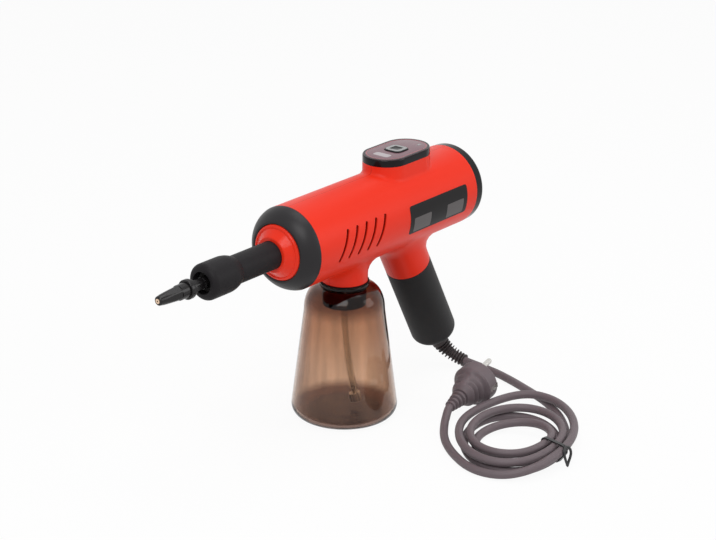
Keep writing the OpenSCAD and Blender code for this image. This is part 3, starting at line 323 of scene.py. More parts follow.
foot_shadow_reach, foot_shadow_rise, edge_blend = (29, 38), (4.5, 9), 0.35
# Painted shade: the amber is darker at the very foot and darkens again up the shoulder under the housing,
# lighter between.
amber_shade_fades = [(paint(222, 197, 177), 3, 13), (paint(204, 168, 142), 40, 86), (paint(122, 86, 68), 90, 106)]
# Its strong upright drift is partly the mould's own streaks and partly painted reflections of the soft
# boxes.
amber_plastic = moulding("amber_plastic", paint(112, 86, 76), 0.03, grain=150.0, relief=0.14, drift=1.0,
                         patchiness=0.02, draw=0.03, spread=90.0, fades=amber_shade_fades,
                         Transmission_Weight=1.0, IOR=1.34, Specular_Tint=(0.85, 0.83, 0.83, 1))
# Painted shadow: the foot's middle goes nearly black, for the paper lying in shade beneath the bottle.
foot_shadow = reckon(amber_plastic.node_tree, "MINIMUM", near(amber_plastic, (0, 0, 0), (1, 1, 0), *foot_shadow_reach),
                 near(amber_plastic, (0, 0, 0), (0, 0, 1), *foot_shadow_rise))
lay_over(amber_plastic, foot_shadow, paint(24, 20, 25))
along_wall = add_node(amber_plastic.node_tree, "ShaderNodeLayerWeight", {"Blend": edge_blend})
lay_over(amber_plastic, along_wall.outputs["Facing"], paint(122, 94, 88))
cone_lean = np.degrees(np.arctan2(bottle_base_r - bottle_shoulder_r, bottle_shoulder_z - bottle_corner_r))
rim_r = mouth_r + rim_wall
shoulder_h = bottle_h - bottle_lip_h - bottle_shoulder_z
dish = np.linspace(0, dish_r, 14)
bead = np.exp(-((dish - dish_r / 2) / bead_w) ** 2)
dish_rise = dish_h * np.cos(np.pi / 2 * dish / dish_r) ** 2 + bead_h * bead


def shoulder(below, mouth, height):
    """The bottle's shoulder: a quarter of an ellipse from the radius below it up to the mouth's."""
    turn = np.radians(np.linspace(0, 90, 17))
    radius = mouth + (below - mouth) * np.cos(turn)
    return np.column_stack([radius, bottle_shoulder_z + height * np.sin(turn)])


foot_r = bottle_base_r - bottle_corner_r
outside = np.vstack([
    np.column_stack([dish, dish_rise]),
    arc(foot_r, bottle_corner_r, bottle_corner_r, -90, cone_lean, 14),
    shoulder(bottle_shoulder_r, rim_r, shoulder_h),
    arc(rim_r - rim_round, bottle_h - rim_round, rim_round, 0, 90, 4)])
inside = np.vstack([
    arc(mouth_r + rim_round, bottle_h - rim_round, rim_round, 90, 180, 4),
    shoulder(bottle_shoulder_r - bottle_wall, mouth_r, shoulder_h - bottle_wall)[::-1],
    arc(foot_r, bottle_corner_r + corner_rise, bottle_corner_r - bottle_wall, cone_lean, -90, 14),
    np.column_stack([dish, dish_rise + floor_t])[::-1]])
piece("bottle_skin", turned(np.vstack([outside, inside]), bottle_axis), amber_plastic,
      "bottle", "bottle_amber", "bottle")

# Inlet: a black threaded cap that hangs in the bottle's mouth on a flat rubber seal.
# A clear hose and a plated filter weight hang from it and reach the last water.
inlet_black = moulding("inlet_black", paint(30, 20, 17), 0.55, relief=0.01, Specular_IOR_Level=0.12)
seal_rubber = moulding("seal_rubber", paint(22, 18, 18), 0.75, grain=2500.0, Specular_IOR_Level=0.12)
clear_hose = moulding("clear_hose", paint(226, 222, 214), 0.06, relief=0.003, Transmission_Weight=1.0,
                      IOR=1.14)
plated_weight = moulding("plated_weight", paint(196, 192, 188), 0.3, relief=0.003, Metallic=1.0)


def finish_nodes(material, *names):
    """Gives CAD nodes that stay in view their finish."""
    for name in names:
        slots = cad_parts[name].data.materials
        slots.clear()
        slots.append(material)


finish_nodes(inlet_black, "inlet_spigot")
finish_nodes(seal_rubber, "bottle_seal")
finish_nodes(clear_hose, "dip_hose", "inlet_hose", "feed_hose")
finish_nodes(plated_weight, "hose_filter")

# Housing: two halves moulded in red plastic with a satin polish, screwed together from the right.
# They part along the middle plane, where a hairline shows. Painted shade darkens the vents' walls deeper
# in.
barrel_z, barrel_r = 167.4, 35.1
seam_half, seam_soft, vent_deep, vent_edge = 0.12, 0.02, 1.4, 0.3
red = paint(231, 49, 27)
red_finish = {"grain": 2600.0, "relief": 0.012, "drift": 0.05, "Specular_IOR_Level": 0.16}
housing_red = moulding("housing_red", red, 0.36, **red_finish)
screw_steel = moulding("screw_steel", paint(150, 150, 152), 0.35, relief=0.004, Metallic=1.0)


def smooth_solid(name, node, material, body, crease=0.5):
    """A CAD solid's own points and triangles as a new piece, merged and shaded smooth."""
    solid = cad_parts[node].data
    points = np.empty(3 * len(solid.vertices))
    solid.vertices.foreach_get("co", points)
    corners = np.empty(len(solid.loops), int)
    solid.loops.foreach_get("vertex_index", corners)
    mesh = bpy.data.meshes.new(name)
    mesh.from_pydata(points.reshape(-1, 3).tolist(), [], corners.reshape(-1, 3).tolist())
    return mount(mesh, material, body, [node], crease, turn_out=False)


seam = near(housing_red, (0, 0, 0), (0, 1, 0), seam_half - seam_soft, seam_half + seam_soft)
lay_over(housing_red, seam, paint(150, 26, 16))
# Painted shade: the red darkens with depth into the wall, on the vents' walls and inside the shells.
depth = near(housing_red, (0, 0, barrel_z), (0, 1, 1), barrel_r - vent_deep, barrel_r - vent_edge)
lay_over(housing_red, depth, paint(140, 16, 9))
for half in ("left", "right"):
    smooth_solid(f"{half}_half", f"body_shell_{half}", housing_red, "housing")
finish_nodes(screw_steel, "housing_screws")

# Works: a die-cast boiler, a pump, two boards and a clamp on the cord's inner end.
# The halves close round them, and little of them shows through the vents.
cast_alloy = moulding("cast_alloy", paint(176, 176, 174), 0.5, grain=900.0, relief=0.06, Metallic=1.0)
drawn_steel = moulding("drawn_steel", paint(182, 182, 184), 0.25, relief=0.003, Metallic=1.0)
pump_blue = moulding("pump_blue", paint(46, 66, 96), 0.45)
carrier_tan = moulding("carrier_tan", paint(178, 150, 112), 0.6, grain=1500.0, relief=0.04)
board_green = moulding("board_green", paint(28, 84, 52), 0.3, relief=0.004)
switch_grey = moulding("switch_grey", paint(82, 82, 86), 0.5)
fuse_white = moulding("fuse_white", paint(226, 224, 218), 0.4)
cord_grey = moulding("cord_grey", paint(104, 93, 97), 0.5, grain=3000.0, relief=0.012,
                     Specular_IOR_Level=0.3)
finish_nodes(cast_alloy, "boiler")
finish_nodes(drawn_steel, "steam_pipe", "pump_plunger")
finish_nodes(pump_blue, "water_pump")
finish_nodes(carrier_tan, "boiler_carriers", "pump_cradle")
finish_nodes(board_green, "control_board", "power_board")
finish_nodes(switch_grey, "tact_switch", "cable_clamp", "thermostat")
finish_nodes(fuse_white, "thermal_fuse")
finish_nodes(seal_rubber, "pump_mounts")
finish_nodes(cord_grey, "cord_inner")

# Front: a bulging bumper ring of satin black plastic, spigoted into the barrel's mouth.
# A red collar with a rounded rim is seated in the ring and holds the lance.
wall, fit = 2.4, 0.15
barrel_axis = ((0, 0, barrel_z), (1, 0, 0), (0, 1, 0))
seam_front, ring_front, ring_bulge_r, ring_lip, ring_edge = 71.0, 84.5, 20.0, 0.9, 0.4
spigot_depth, spigot_r = 5.0, barrel_r - wall - fit
flange_r, flange_x, ring_bore_r = 23.2, 80.0, 20.0
satin_black = moulding("satin_black", paint(34, 32, 34), 0.4, grain=2200.0, relief=0.02,
                       Specular_IOR_Level=0.25)


def bowed(start, end, radius, count=12):
    """Points (radius, distance) on a circle's arc from start to end that bulges away from the axis."""
    start, end = np.array(start), np.array(end)
    chord = end - start
    out = np.array((chord[1], -chord[0])) / np.hypot(*chord)
    centre = (start + end) / 2 - np.sqrt(radius ** 2 - chord @ chord / 4) * out
    first, last = np.degrees(np.arctan2(*(np.array((start, end)) - centre).T[::-1]))
    return arc(*centre, radius, first, last, count)


lip_r = flange_r + fit + ring_lip
ring_profile = np.vstack([
    [(ring_bore_r, seam_front - spigot_depth), (spigot_r, seam_front - spigot_depth),
     (spigot_r, seam_front)],
    arc(barrel_r - ring_edge, seam_front + ring_edge, ring_edge, -90, 0, 3),
    bowed((barrel_r, seam_front + ring_edge), (lip_r + ring_lip, ring_front), ring_bulge_r, 24),
    arc(lip_r, ring_front - ring_lip, ring_lip, 90, 180, 8),
    [(flange_r + fit, flange_x), (ring_bore_r, flange_x)]])
piece("bumper_ring", turned(ring_profile, barrel_axis), satin_black, "housing", "satin_black",
      "front_ring", loop_rows=True)

collar_tail, collar_front, collar_rim, groove_r = 62.0, 86.0, 2.5, 0.25
nose_r, nose_front, nose_round = 15.4, 92.0, 1.8
lance_r = 11.65
collar_red = moulding("collar_red", red, 0.2, **red_finish)
collar_profile = np.vstack([
    [(lance_r + fit, collar_tail), (ring_bore_r - fit, collar_tail), (ring_bore_r - fit, flange_x),
     (flange_r, flange_x)],
    arc(flange_r - collar_rim, collar_front - collar_rim, collar_rim, 0, 90, 10),
    arc(flange_r - collar_rim - groove_r, collar_front, groove_r, 0, -150, 8),
    arc(nose_r - nose_round, nose_front - nose_round, nose_round, 30, 90, 8),
    [(lance_r + fit, nose_front)]])
piece("red_collar", turned(collar_profile, barrel_axis), collar_red, "housing", "housing_red",
      "front_collar", loop_rows=True)

# Lance: a matt black plastic tube in the collar, and a coupling sleeve with a recess for the nozzle.
# The sleeve is pressed over the tube's end.
sleeve_x, sleeve_front, sleeve_r, sleeve_round = 136.0, 172.0, 14.9, 5.0
sleeve_full, sleeve_bulge_r, sleeve_sink = 148.0, 26.3, 0.1
recess_r, recess_x, recess_lip, partition_x = 9.0, 164.0, 0.4, 157.0
tube_bore_r, tube_flange_r, tube_tail = 4.3, 15.65, 59.0
neck_bore_r = 5.3
matt_black = moulding("matt_black", paint(30, 28, 30), 0.52, grain=1800.0, relief=0.03,
                      Specular_IOR_Level=0.13)
tube_profile = np.array([(tube_bore_r, tube_tail), (tube_flange_r, tube_tail), (tube_flange_r, collar_tail),
                         (lance_r, collar_tail), (lance_r, partition_x), (tube_bore_r, partition_x)])
sleeve_profile = np.vstack([
    bowed((lance_r - sleeve_sink, sleeve_x), (sleeve_r, sleeve_full), sleeve_bulge_r, 20),
    arc(sleeve_r - sleeve_round, sleeve_front - sleeve_round, sleeve_round, 0, 90, 12),
    arc(recess_r + recess_lip, sleeve_front - recess_lip, recess_lip, 90, 180, 4),
    [(recess_r, recess_x), (neck_bore_r, recess_x), (neck_bore_r, partition_x),
     (lance_r + fit, partition_x)]])
piece("lance_skin", turned(tube_profile, barrel_axis), matt_black, "housing", "satin_black", "lance_tube",
      loop_rows=True)
piece("coupling_sleeve", turned(sleeve_profile, barrel_axis), matt_black, "housing", "satin_black",
      "lance_sleeve", loop_rows=True)

# Nozzle: one moulding with a six-sided neck, a stepped hub and a cone with six flats, on a rubber washer.
# A brass jet is pressed into its tip. All of it turns and pulls out together.
neck_r, neck_tail, neck_flat = 4.9, 158.0, 0.45
hub_x, hub_step_r, hub_step_x, hub_r, hub_round = 183.0, 6.6, 185.4, 8.0, 0.8
cone_x, tip_x, tip_r, tip_bevel, cone_swell = 190.0, 219.8, 3.7, 0.6, 2.6
flat_x, flat_r, flat_lean = 198.0, 5.6, np.radians(4)
neck_ease, neck_root, flat_ease = 0.1, 1.0, 0.05
jet_hole_r, jet_depth = 1.95, 5.0
jet_black = moulding("jet_black", paint(22, 20, 21), 0.22, relief=0.006, Specular_IOR_Level=0.28)
washer_rubber = moulding("washer_rubber", paint(30, 28, 28), 0.7, Specular_IOR_Level=0.25)
jet_brass = moulding("jet_brass", paint(226, 198, 172), 0.22, relief=0.004, Metallic=1.0)


def cone_r(distance):
    """The cone's radius: an ogive that narrows with the square of the way along it."""
    return tip_r + cone_swell * (1 - np.clip((distance - cone_x) / (tip_x - tip_bevel - cone_x), 0, 1) ** 2)


def jet_flats(distance, turn):
    """Sinks six flats into the neck and six into the cone. A flat is a plane at some distance from the
    axis, so the radius there is at most that distance over the cosine of the turn from its middle."""
    off = (turn + np.pi / 6) % (np.pi / 3) - np.pi / 6
    plane = flat_r - (distance - flat_x) * np.tan(flat_lean)
    on_cone = (distance > flat_x) & (distance < tip_x - tip_bevel)
    on_neck = (distance > sleeve_front) & (distance < hub_x - hub_round)
    cone_sink = np.minimum(0, plane / np.cos(off) - cone_r(distance)) * on_cone
    neck_sink = np.minimum(0, (neck_r - neck_flat) / np.cos(off) - neck_r) * on_neck
    return cone_sink + neck_sink


neck_at = np.concatenate([[neck_tail, sleeve_front - neck_ease],
                          np.linspace(sleeve_front + neck_ease, hub_x - neck_root, 4), [hub_x]])
cone_at = np.concatenate([np.linspace(cone_x, flat_x, 6),
                          np.linspace(flat_x + flat_ease, tip_x - tip_bevel, 24)])
jet_profile = np.vstack([
    [(0, neck_tail)], np.column_stack([np.full(len(neck_at), neck_r), neck_at]),
    [(hub_step_r, hub_x), (hub_step_r, hub_step_x)],
    arc(hub_r - hub_round, hub_step_x + hub_round, hub_round, -90, 0, 5),
    arc(hub_r - hub_round, cone_x - hub_round, hub_round, 0, 90, 5),
    np.column_stack([cone_r(cone_at), cone_at]),
    [(tip_r - tip_bevel, tip_x), (jet_hole_r, tip_x), (jet_hole_r, tip_x - jet_depth),
     (0, tip_x - jet_depth)]])
piece("jet_skin", turned(jet_profile, barrel_axis, 144, jet_flats), jet_black, "jet", "satin_black",
      "jet_nozzle", crease=0.3)
finish_nodes(washer_rubber, "nozzle_washer")
finish_nodes(jet_brass, "jet_orifice")

# Rear cap: a lid moulded in gloss black plastic, with a shallow dish in it.
# Its skirt is pressed into the barrel's back.
cap_seam, cap_back, cap_r, cap_round, cap_floor, cap_skirt = -136.4, -146.8, 34.8, 3.5, 3.0, 2.0
cap_dish_r, cap_dish = 27.0, 0.8
gloss = {"relief": 0.003, "patchiness": 0.05, "Specular_IOR_Level": 0.17}
gloss_black = moulding("gloss_black", paint(18, 18, 20), 0.12, **gloss)
cap_profile = np.vstack([
    [(0, cap_back + cap_dish), (cap_dish_r - cap_dish, cap_back + cap_dish)],
    arc(cap_dish_r, cap_back + cap_dish, cap_dish, 180, 270, 4),
    arc(cap_r - cap_round, cap_back + cap_round, cap_round, -90, 0, 12),
    [(cap_r, cap_seam), (spigot_r, cap_seam), (spigot_r, cap_seam + spigot_depth),
     (spigot_r - cap_skirt, cap_seam + spigot_depth), (spigot_r - cap_skirt, cap_back + cap_floor),
     (0, cap_back + cap_floor)]])
piece("rear_lid", turned(cap_profile, barrel_axis), gloss_black, "housing", "gloss_black", "rear_cap")

# Control panel: a gloss black bezel set in the boss, with a pale window and a small lamp.
# Its top carries a painted reflection, a mauve-grey sheen, with a black rim round it and a thin red line
# printed on it.
# A sprung square button with a dished top stands in the middle, with a painted highlight as a pale ring on
# its top.
panel_x, panel_l, panel_w, bezel_top, sheen_foot, sheen_head = -68.0, 67.0, 40.0, 216.0, 0.5, 0.05
button_side, button_corner, button_foot, button_top, button_dish = 17.0, 5.0, 209.5, 217.0, 0.55
button_bevel, button_round, button_crown, dish_from, dish_to, dish_lip = 0.4, 0.7, 0.2, 4.2, 4.5, 0.1
band_sunk, band_proud = 0.1, 0.06
rim_in, rim_w, line_in, line_w, ring_in, ring_w = 0.7, 1.6, 3.0, 0.7, 1.0, 3.0
lamp_l, lamp_w, lamp_at, lamp_bevel = 5.0, 2.4, (-90, 7), 0.3
lamp_foot, lamp_side, lamp_edge, lamp_top = bezel_top + np.array((-0.2, 0.05, 0.2, 0.25))
# Painted reflection: the bezel's top fades to mauve grey, the sheen a gloss black top shows under the
# bright room.
top_sheen = [(paint(122, 88, 97), bezel_top - sheen_foot, bezel_top - sheen_head)]
sheen_topped_black = moulding("sheen_topped_black", paint(15, 15, 18), 0.1, fades=top_sheen, **gloss)
display_film = moulding("display_film", paint(172, 162, 166), 0.15, relief=0.002)
smooth_solid("panel_frame", "panel_bezel", sheen_topped_black, "housing")
finish_nodes(display_film, "panel_window")


def rounded_outline(length, width, corner, count=12):
    """Points round a rectangle with rounded corners, a quarter arc at each, and the way out there."""
    turn = np.radians(np.concatenate([np.linspace(90 * k, 90 * k + 90, count) for k in range(4)]))
    out = np.column_stack([np.cos(turn), np.sin(turn)])
    quadrant = np.repeat(np.array([(1, 1), (-1, 1), (-1, -1), (1, -1)]), count, axis=0)
    return quadrant * (length / 2 - corner, width / 2 - corner) + corner * out, out


def stacked(outline, steps, centre):
    """Carries an outline through steps of (inset, height, shrink): each row is the outline moved in by
    inset, drawn towards the centre by shrink and set at the height."""
    points, out = outline
    inset, height, shrink = np.array(steps, float).T
    flat = (points[None] - inset[:, None, None] * out[None]) * (1 - shrink)[:, None, None]
    tall = np.broadcast_to(height[:, None, None], (*flat.shape[:2], 1))
    return np.concatenate([flat + np.array(centre), tall], axis=2)


def outline_band(outline, inset, width, top, centre):
    """A thin band that follows an outline at some inset, a few hundredths of a millimetre proud: printed
    lines, and the button's painted highlight.
    """
    foot, lift = top - band_sunk, top + band_proud
    rows = [(inset, foot, 0), (inset, lift, 0), (inset + width, lift, 0), (inset + width, foot, 0)]
    return stacked(outline, rows, centre)


button_shape = rounded_outline(button_side, button_side, button_corner)
button_steps = [(button_bevel, button_foot, 1), (button_bevel, button_foot, 0),
                (0, button_foot + button_bevel, 0), (0, button_top - button_round, 0),
                (button_crown, button_top - button_crown, 0), (button_round, button_top, 0),
                (dish_from, button_top, 0)]
button_steps += [(dish_to, button_top - dish_lip - (button_dish - dish_lip) * way * (2 - way), way)
                 for way in np.linspace(0, 1, 5)]
piece("square_button", stacked(button_shape, button_steps, (panel_x, 0)), gloss_black,
      "button", "gloss_black", "panel_button")
# Pale finish for the lamp's lens, and for the painted highlight along the button's rounded edge.
pale_lamp_and_highlight = moulding("pale_lamp_and_highlight", paint(146, 146, 146), 0.3, relief=0.002)
# Painted highlight: a pale ring on the button's top, where its rounded edge catches the light.
piece("button_highlight", outline_band(button_shape, ring_in, ring_w, button_top, (panel_x, 0)), pale_lamp_and_highlight,
      "button", "display", loop_rows=True)
panel_shape = rounded_outline(panel_l, panel_w, panel_w / 2, 24)
line_red = moulding("line_red", paint(158, 72, 80), 0.3, relief=0.002)
piece("panel_line", outline_band(panel_shape, line_in, line_w, bezel_top, (panel_x, 0)), line_red,
      "housing", "housing_red", loop_rows=True)
piece("panel_rim", outline_band(panel_shape, rim_in, rim_w, bezel_top, (panel_x, 0)), gloss_black,
      "housing", "gloss_black", loop_rows=True)
lamp_shape = rounded_outline(lamp_l, lamp_w, lamp_w / 2, 8)
lamp_steps = [(0, lamp_foot, 1), (0, lamp_foot, 0), (0, lamp_side, 0), (lamp_bevel, lamp_edge, 0),
              (lamp_bevel, lamp_top, 1)]
piece("panel_lamp", stacked(lamp_shape, lamp_steps, lamp_at), pale_lamp_and_highlight, "housing", "display")

# Rating plate: a bare dark film stuck on the barrel's left, with two greyer fields in its lower part.
# It follows the barrel's round and stands a fifth of a millimetre proud.
plate_x, plate_l, plate_middle, plate_w, plate_corner, plate_lift = -82.9, 78.5, -1.8, 25.4, 2.5, 0.2
field_l, field_w, field_off, field_middle, field_corner, field_lift = 23.0, 12.5, 22.5, -9.6, 1.2, 0.26
film_sunk = 0.1
plate_film = moulding("plate_film", paint(22, 20, 21), 0.34, relief=0.006, Specular_IOR_Level=0.14)
field_grey = moulding("field_grey", paint(88, 84, 84), 0.42, relief=0.006, Specular_IOR_Level=0.25)


def film(name, size, corner, lift, middle_x, middle_angle, material):
    """A film with rounded corners on the barrel: rows run round the barrel, and each is a loop over its top
    and back under it, shortened at the corners by the rest of the corner's circle."""
    length, width = size
    around = np.concatenate([np.linspace(-1, -0.9, 8), np.linspace(-0.8, 0.8, 17), np.linspace(0.9, 1, 8)])
    around = around * width / 2
    past = np.maximum(0, np.abs(around) - (width / 2 - corner))
    half = length / 2 - corner + np.sqrt(np.maximum(0, corner ** 2 - past ** 2))
    along = np.array([-1, -1, -0.5, 0, 0.5, 1, 1, 0])
    radius = barrel_r + np.array([-film_sunk] + 5 * [lift] + 2 * [-film_sunk])
    angle = np.radians(middle_angle) + around / barrel_r
    grid = np.stack([middle_x + half[:, None] * along, radius * np.cos(angle)[:, None],
                     barrel_z + radius * np.sin(angle)[:, None]], axis=-1)
    return piece(name, grid, material, "housing", "gloss_black", caps=True)


film("rating_plate", (plate_l, plate_w), plate_corner, plate_lift, plate_x, plate_middle, plate_film)
for name, off in (("front_field", field_off), ("rear_field", -field_off)):
    film(name, (field_l, field_w), field_corner, field_lift, plate_x + off, field_middle, field_grey)

# Grip: a soft rubber sleeve with a rounded end.
# It is stretched over the handle's core, up to the red neck.
handle_x, handle_lean, handle_r, handle_len = -54.2, np.radians(28), 20.0, 153.7
grip_len, grip_round, grip_edge, core_r, end_wall, relief_hole_r = 88.5, 8.0, 0.8, 17.5, 6.0, 6.2
handle_up = np.array((np.sin(handle_lean), 0, np.cos(handle_lean)))
handle_side = np.array((np.cos(handle_lean), 0, -np.sin(handle_lean)))
handle_end = np.array((handle_x, 0, barrel_z)) - handle_len * handle_up
handle_axis = (handle_end, handle_up, handle_side)
grip_rubber = moulding("grip_rubber", paint(27, 26, 27), 0.6, grain=1400.0, relief=0.05, Sheen_Weight=0.05,
                       Specular_IOR_Level=0.2)
grip_profile = np.vstack([
    [(relief_hole_r, 0)], arc(handle_r - grip_round, grip_round, grip_round, -90, 0, 16),
    arc(handle_r - grip_edge, grip_len - fit - grip_edge, grip_edge, 0, 90, 5),
    [(core_r, grip_len - fit), (core_r, end_wall), (relief_hole_r, end_wall)]])
piece("rubber_grip", turned(grip_profile, handle_axis), grip_rubber, "housing", "grip_rubber",
      "grip_sleeve", loop_rows=True)

# Strain relief: a black rubber sleeve that bends from the handle's end towards the tool's left.
# A smooth collar comes first, then nine thin fins.
relief_bend, relief_turn, relief_gap = 28.5, 80.0, 0.2
relief_r, relief_neck_r, relief_tip_r, collar_turn, collar_rings = 8.0, 7.4, 5.5, 24.0, 8
fin_count, fin_depth = 9, 2.2


def relief_line(turn):
    """The relief's bend: a circle's arc that starts down the handle and turns towards +Y."""
    bend = np.radians(turn)
    aside = np.multiply.outer(relief_bend * (1 - np.cos(bend)), (0, 1, 0))
    down = np.multiply.outer(relief_gap + relief_bend * np.sin(bend), handle_up)
    return handle_end + aside - down


def swept(path, radii, sides, up, closed=False):
    """Carries a circle along a path: each ring stands square to the path, its side turned from up.
    A closed path goes on from its last point to its first."""
    steps = np.roll(path, -1, axis=0) - np.roll(path, 1, axis=0) if closed else np.gradient(path, axis=0)
    ahead = unit(steps)
    side = unit(np.cross(ahead, up))
    over = np.cross(side, ahead)
    turn = np.linspace(0, 2 * np.pi, sides, endpoint=False)
    spoke = np.cos(turn)[None, :, None] * side[:, None] + np.sin(turn)[None, :, None] * over[:, None]
    return path[:, None] + np.broadcast_to(radii, len(path))[:, None, None] * spoke


fin_step = (relief_turn - collar_turn) / fin_count
fin_edges = np.array([0.04, 0.12, 0.56, 0.64, 0.7, 0.9, 0.96])
fin_sinks = np.array([0.7, 1, 1, 0.7, 0, 0, 0.1])
fin_at = collar_turn + fin_step * (np.arange(fin_count)[:, None] + fin_edges)
relief_at = np.concatenate([np.linspace(0, collar_turn, collar_rings), fin_at.ravel(), [relief_turn]])
taper = np.interp(relief_at, [0, collar_turn, relief_turn], [relief_r, relief_neck_r, relief_tip_r])
sinks = np.concatenate([np.zeros(collar_rings), np.tile(fin_sinks, fin_count), [0]])
relief_black = moulding("relief_black", paint(58, 50, 51), 0.55, relief=0.02, Specular_IOR_Level=0.35)
piece("finned_relief", swept(relief_line(relief_at), taper - fin_depth * sinks, 48, handle_side),
      relief_black, "housing", "seal_rubber", "strain_relief", caps=True, crease=0.5)

# Mains cord: round grey cable, 7 mm, from the relief along the floor, round an oval coil in two layers
# and on to the plug. The coil's turns lie beside and on each other.
cord_r, cord_z, layer_step = 3.5, 3.6, 7.8
cord_root, cord_sunk, cord_step, coil_step = 76.0, 3.0, 2.5, 7.5
lead_points = [(-140.6, 35, 5.3), (-141.5, 46, 4.2), (-140.5, 58, 3.7), (-136.5, 74, cord_z),
               (-129.5, 95, cord_z), (-117, 126, cord_z), (-100, 152, cord_z), (-82, 170, cord_z)]
coil_at = np.array((-43.4, 148.5))
coil_u = unit((-0.63, 0.777))
coil_v = np.array((coil_u[1], -coil_u[0]))
coil_rate, coil_in, coil_reverse, coil_climb, coil_out = 0.53, 95.0, 630.0, 180.0, 1570.0
tie_turn, tie_lift, tie_focus, sag_from, sag_to, sag = 125.0, 1.9, 6, 1345.0, 1462.0, 4.0
outer_oval = np.array((48.5, 74, -3, -1, 0.12))
inner_oval = np.array((31, 31.5, -4, 10.5, 0.06))
tail_points = [(-10.5, 201.6, 12), (1, 199, 10), (11.5, 193, 7.6), (19.5, 184, 5.3), (24.5, 173, 4),
               (26.5, 160.5, cord_z), (24.5, 147, cord_z), (18, 132.5, cord_z), (9.5, 119, cord_z),
               (-3, 104.5, cord_z), (-19, 91.5, 4), (-31, 84.2, 7)]
plug_end = np.array((-42, 80.3, 12.4))
plug_dir = unit((-0.985, -0.083, 0.16))


def coil_line(turn):
    """The coil's centreline: an oval that winds from the outer one in, climbs a layer and winds out again.
    It rises a little under the tie and sags where nothing lies below."""
    wound_in = 1 - coil_rate * (coil_reverse - turn) / 360
    wound_out = 1 - coil_rate * (turn - coil_reverse - coil_climb) / 360
    depth = np.minimum(1, np.where(turn < coil_reverse, wound_in, wound_out))
    half_u, half_v, mid_u, mid_v, slant = (outer_oval + (inner_oval - outer_oval) * depth[:, None]).T
    bend = np.radians(turn)
    v = -half_v * np.cos(bend)
    u = mid_u + half_u * np.sin(bend) - slant * v
    flat = coil_at + np.multiply.outer(u, coil_u) + np.multiply.outer(mid_v + v, coil_v)
    rise = np.clip((turn - coil_reverse) / coil_climb, 0, 1)
    under_tie = np.maximum(0, np.cos(np.radians(turn - tie_turn))) ** tie_focus
    dip = np.sin(np.pi * np.clip((turn - sag_from) / (sag_to - sag_from), 0, 1)) ** 2
    height = cord_z + layer_step * rise * rise * (3 - 2 * rise) + tie_lift * under_tie - sag * dip
    return np.column_stack([flat, height])


def smooth_line(points, step):
    """A smooth line through points: on each span a cubic that keeps the points' mean headings."""
    points = np.asarray(points, float)
    run = np.concatenate([[0], np.cumsum(np.linalg.norm(np.diff(points, axis=0), axis=1))])
    heading = np.gradient(points, run, axis=0)
    at = np.linspace(0, run[-1], int(run[-1] / step))
    span = np.clip(np.searchsorted(run, at, side="right") - 1, 0, len(run) - 2)
    width = (run[span + 1] - run[span])[:, None]
    s = ((at - run[span]) / width[:, 0])[:, None]
    return (points[span] * (1 + 2 * s) * (1 - s) ** 2 + heading[span] * width * s * (1 - s) ** 2
            + points[span + 1] * s * s * (3 - 2 * s) + heading[span + 1] * width * s * s * (s - 1))


cord_points = np.vstack([relief_line(np.array([cord_root, relief_turn])), lead_points,
                         coil_line(np.arange(coil_in, coil_out + 1, coil_step)), tail_points,
                         [plug_end, plug_end + cord_sunk * plug_dir]])
cord_line = smooth_line(cord_points, cord_step)
cord = piece("mains_cord", swept(cord_line, cord_r, 20, (0, 0, 1)), cord_grey, "housing", "cord_grey",
             "cord_lead", "cord_coil", "cord_tail", caps=True)

# Twist tie: a flat black plastic strip with a wire core, drawn tight round all the strands.
# Its ends hang down outside the coil as a wire loop.
tie_t, tie_w, tie_play, strip_points = 0.9, 3.0, 0.4, 120
wire_r, wire_points, knot_at, loop_w, loop_lift, loop_pinch = 1.1, 48, 15, 5.5, 0.5, 0.8
tie_black = moulding("tie_black", paint(26, 26, 28), 0.4, relief=0.01)
strands = coil_line(tie_turn + 360 * np.arange(5.0))
tie_axis = np.append(unit(strands[4, :2] - strands[2, :2]), 0)
tie_side = np.cross(tie_axis, (0, 0, 1))
tie_middle = strands.mean(axis=0)


def in_tie(across, up, along):
    """Points in the tie's own frame: across the strands, up, and along them."""
    return tie_middle + np.column_stack([across, up, along]) @ np.array([tie_axis, (0, 0, 1), tie_side])


def strip_line(gap):
    """The line drawn tight round the strands at some gap: each way out, the farthest strand carries it."""
    turn = np.linspace(0, 2 * np.pi, strip_points, endpoint=False)
    out = np.column_stack([np.cos(turn), np.sin(turn)])
    centres = np.column_stack([(strands - tie_middle) @ tie_axis, (strands - tie_middle)[:, 2]])
    return centres[np.argmax(out @ centres.T, axis=1)] + (cord_r + gap) * out


strip_top = tie_play + tie_t
strip_rows = [(tie_play, -tie_w / 2), (strip_top, -tie_w / 2), (strip_top, tie_w / 2),
              (tie_play, tie_w / 2)]
strip = np.stack([in_tie(*strip_line(gap).T, np.full(strip_points, off)) for gap, off in strip_rows])
tie = piece("tie_strip", strip, tie_black, "housing", "tie_black", "cord_tie", loop_rows=True)
wire_seat = strip_line(strip_top + wire_r)
knot = wire_seat[knot_at]
loop_foot = np.array((wire_seat[0, 0] + loop_lift, wire_r + loop_lift - tie_middle[2]))
wire_turn = np.linspace(0, 2 * np.pi, wire_points, endpoint=False)
wire_fall = (1 - np.cos(wire_turn)) / 2
wire_out = knot[0] + (loop_foot[0] - knot[0]) * np.sin(np.pi / 2 * np.minimum(1, 2 * wire_fall))
wire_up = knot[1] + (loop_foot[1] - knot[1]) * wire_fall
wire_line = in_tie(wire_out, wire_up, loop_w * np.sin(wire_turn) * (1 - wire_fall) ** loop_pinch)
tie_loop = piece("tie_loop", swept(wire_line, wire_r, 12, tie_axis, closed=True), tie_black,
                 "housing", "tie_black", loop_rows=True)

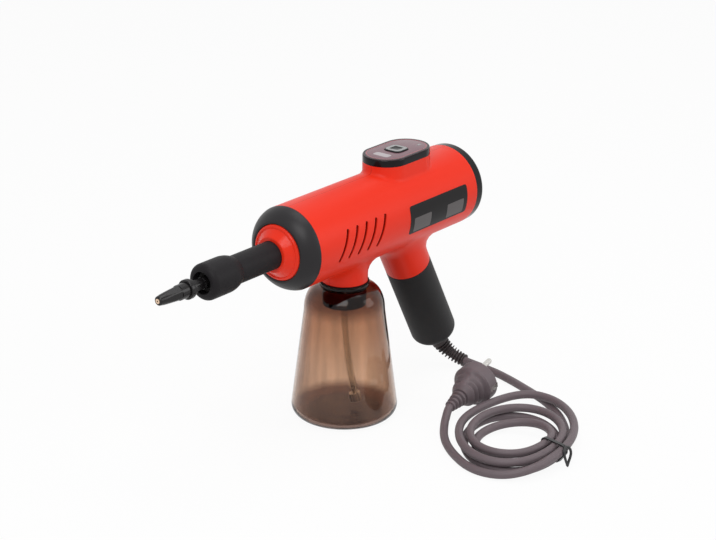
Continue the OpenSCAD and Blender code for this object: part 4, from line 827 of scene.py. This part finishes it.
# Plug: a two-pin mains plug moulded onto the cord, with a ribbed neck and finger scallops on its sides.
# Its nickel pins and sprung earth clips are the frame's own.
plug_len, plug_edge, plug_neck, plug_r, head_from, head_gap = 48.0, 1.2, 17.0, 18.0, 36.4, 0.2
plug_points = [(7.6, 17), (10.5, 20.5), (12.5, 26), (14, 31), (16.6, 33.5), (18, 36)]
plug_step, head_rings = 0.8, 8
rib_count, rib_depth, rib_ends = 4, 1.1, (4.8, 7.0)
hold_from, hold_rise, hold_to, hold_fall, hold_square = 19.0, 3.0, 36.5, 2.0, 0.8
scallops, scallop_w, scallop_depth, side_slope, side_start = (33.0, 28.4, 23.8), 1.5, 2.2, 3.0, 0.3
plug_across = unit(np.cross(plug_dir, (0, 0, 1)))
plug_axis = (plug_end, plug_dir, np.cross(plug_across, plug_dir))
rib_edges = np.array([0.02, 0.1, 0.45, 0.53, 0.66, 0.92])
rib_sinks = np.array([0.4, 0, 0, 0.4, 1, 1])
rib_at = np.arange(rib_count)[:, None] + rib_edges
rib_r = np.interp(np.arange(rib_count), [0, rib_count - 1], rib_ends)[:, None] - rib_depth * rib_sinks


def finger_scallops(distance, turn):
    """Squares the plug's grip up a little and sinks three rounded scallops across each of its sides."""
    rise = np.clip((distance - hold_from) / hold_rise, 0, 1)
    fall = np.clip((hold_to - distance) / hold_fall, 0, 1)
    sides = np.clip(side_slope * np.abs(np.sin(turn)) - side_start, 0, 1)
    waves = sum(np.exp(-((distance - at) / scallop_w) ** 2) for at in scallops)
    return (hold_square * np.sin(2 * turn) ** 2 - scallop_depth * waves * sides) * rise * fall


head_at = np.linspace(head_from, plug_len - plug_edge - head_gap, head_rings)
plug_profile = np.vstack([
    [(0, 0)], np.column_stack([rib_r.ravel(), rib_at.ravel() * plug_neck / rib_count]),
    smooth_line(plug_points, plug_step), np.column_stack([np.full(head_rings, plug_r), head_at]),
    arc(plug_r - plug_edge, plug_len - plug_edge, plug_edge, 0, 90, 6), [(0, plug_len)]])
plug = piece("plug_skin", turned(plug_profile, plug_axis, swell=finger_scallops), cord_grey, "housing",
             "cord_grey", "plug_body")
pin_nickel = moulding("pin_nickel", paint(206, 204, 200), 0.2, relief=0.002, Metallic=1.0)
finish_nodes(pin_nickel, "plug_pins", "plug_clips")
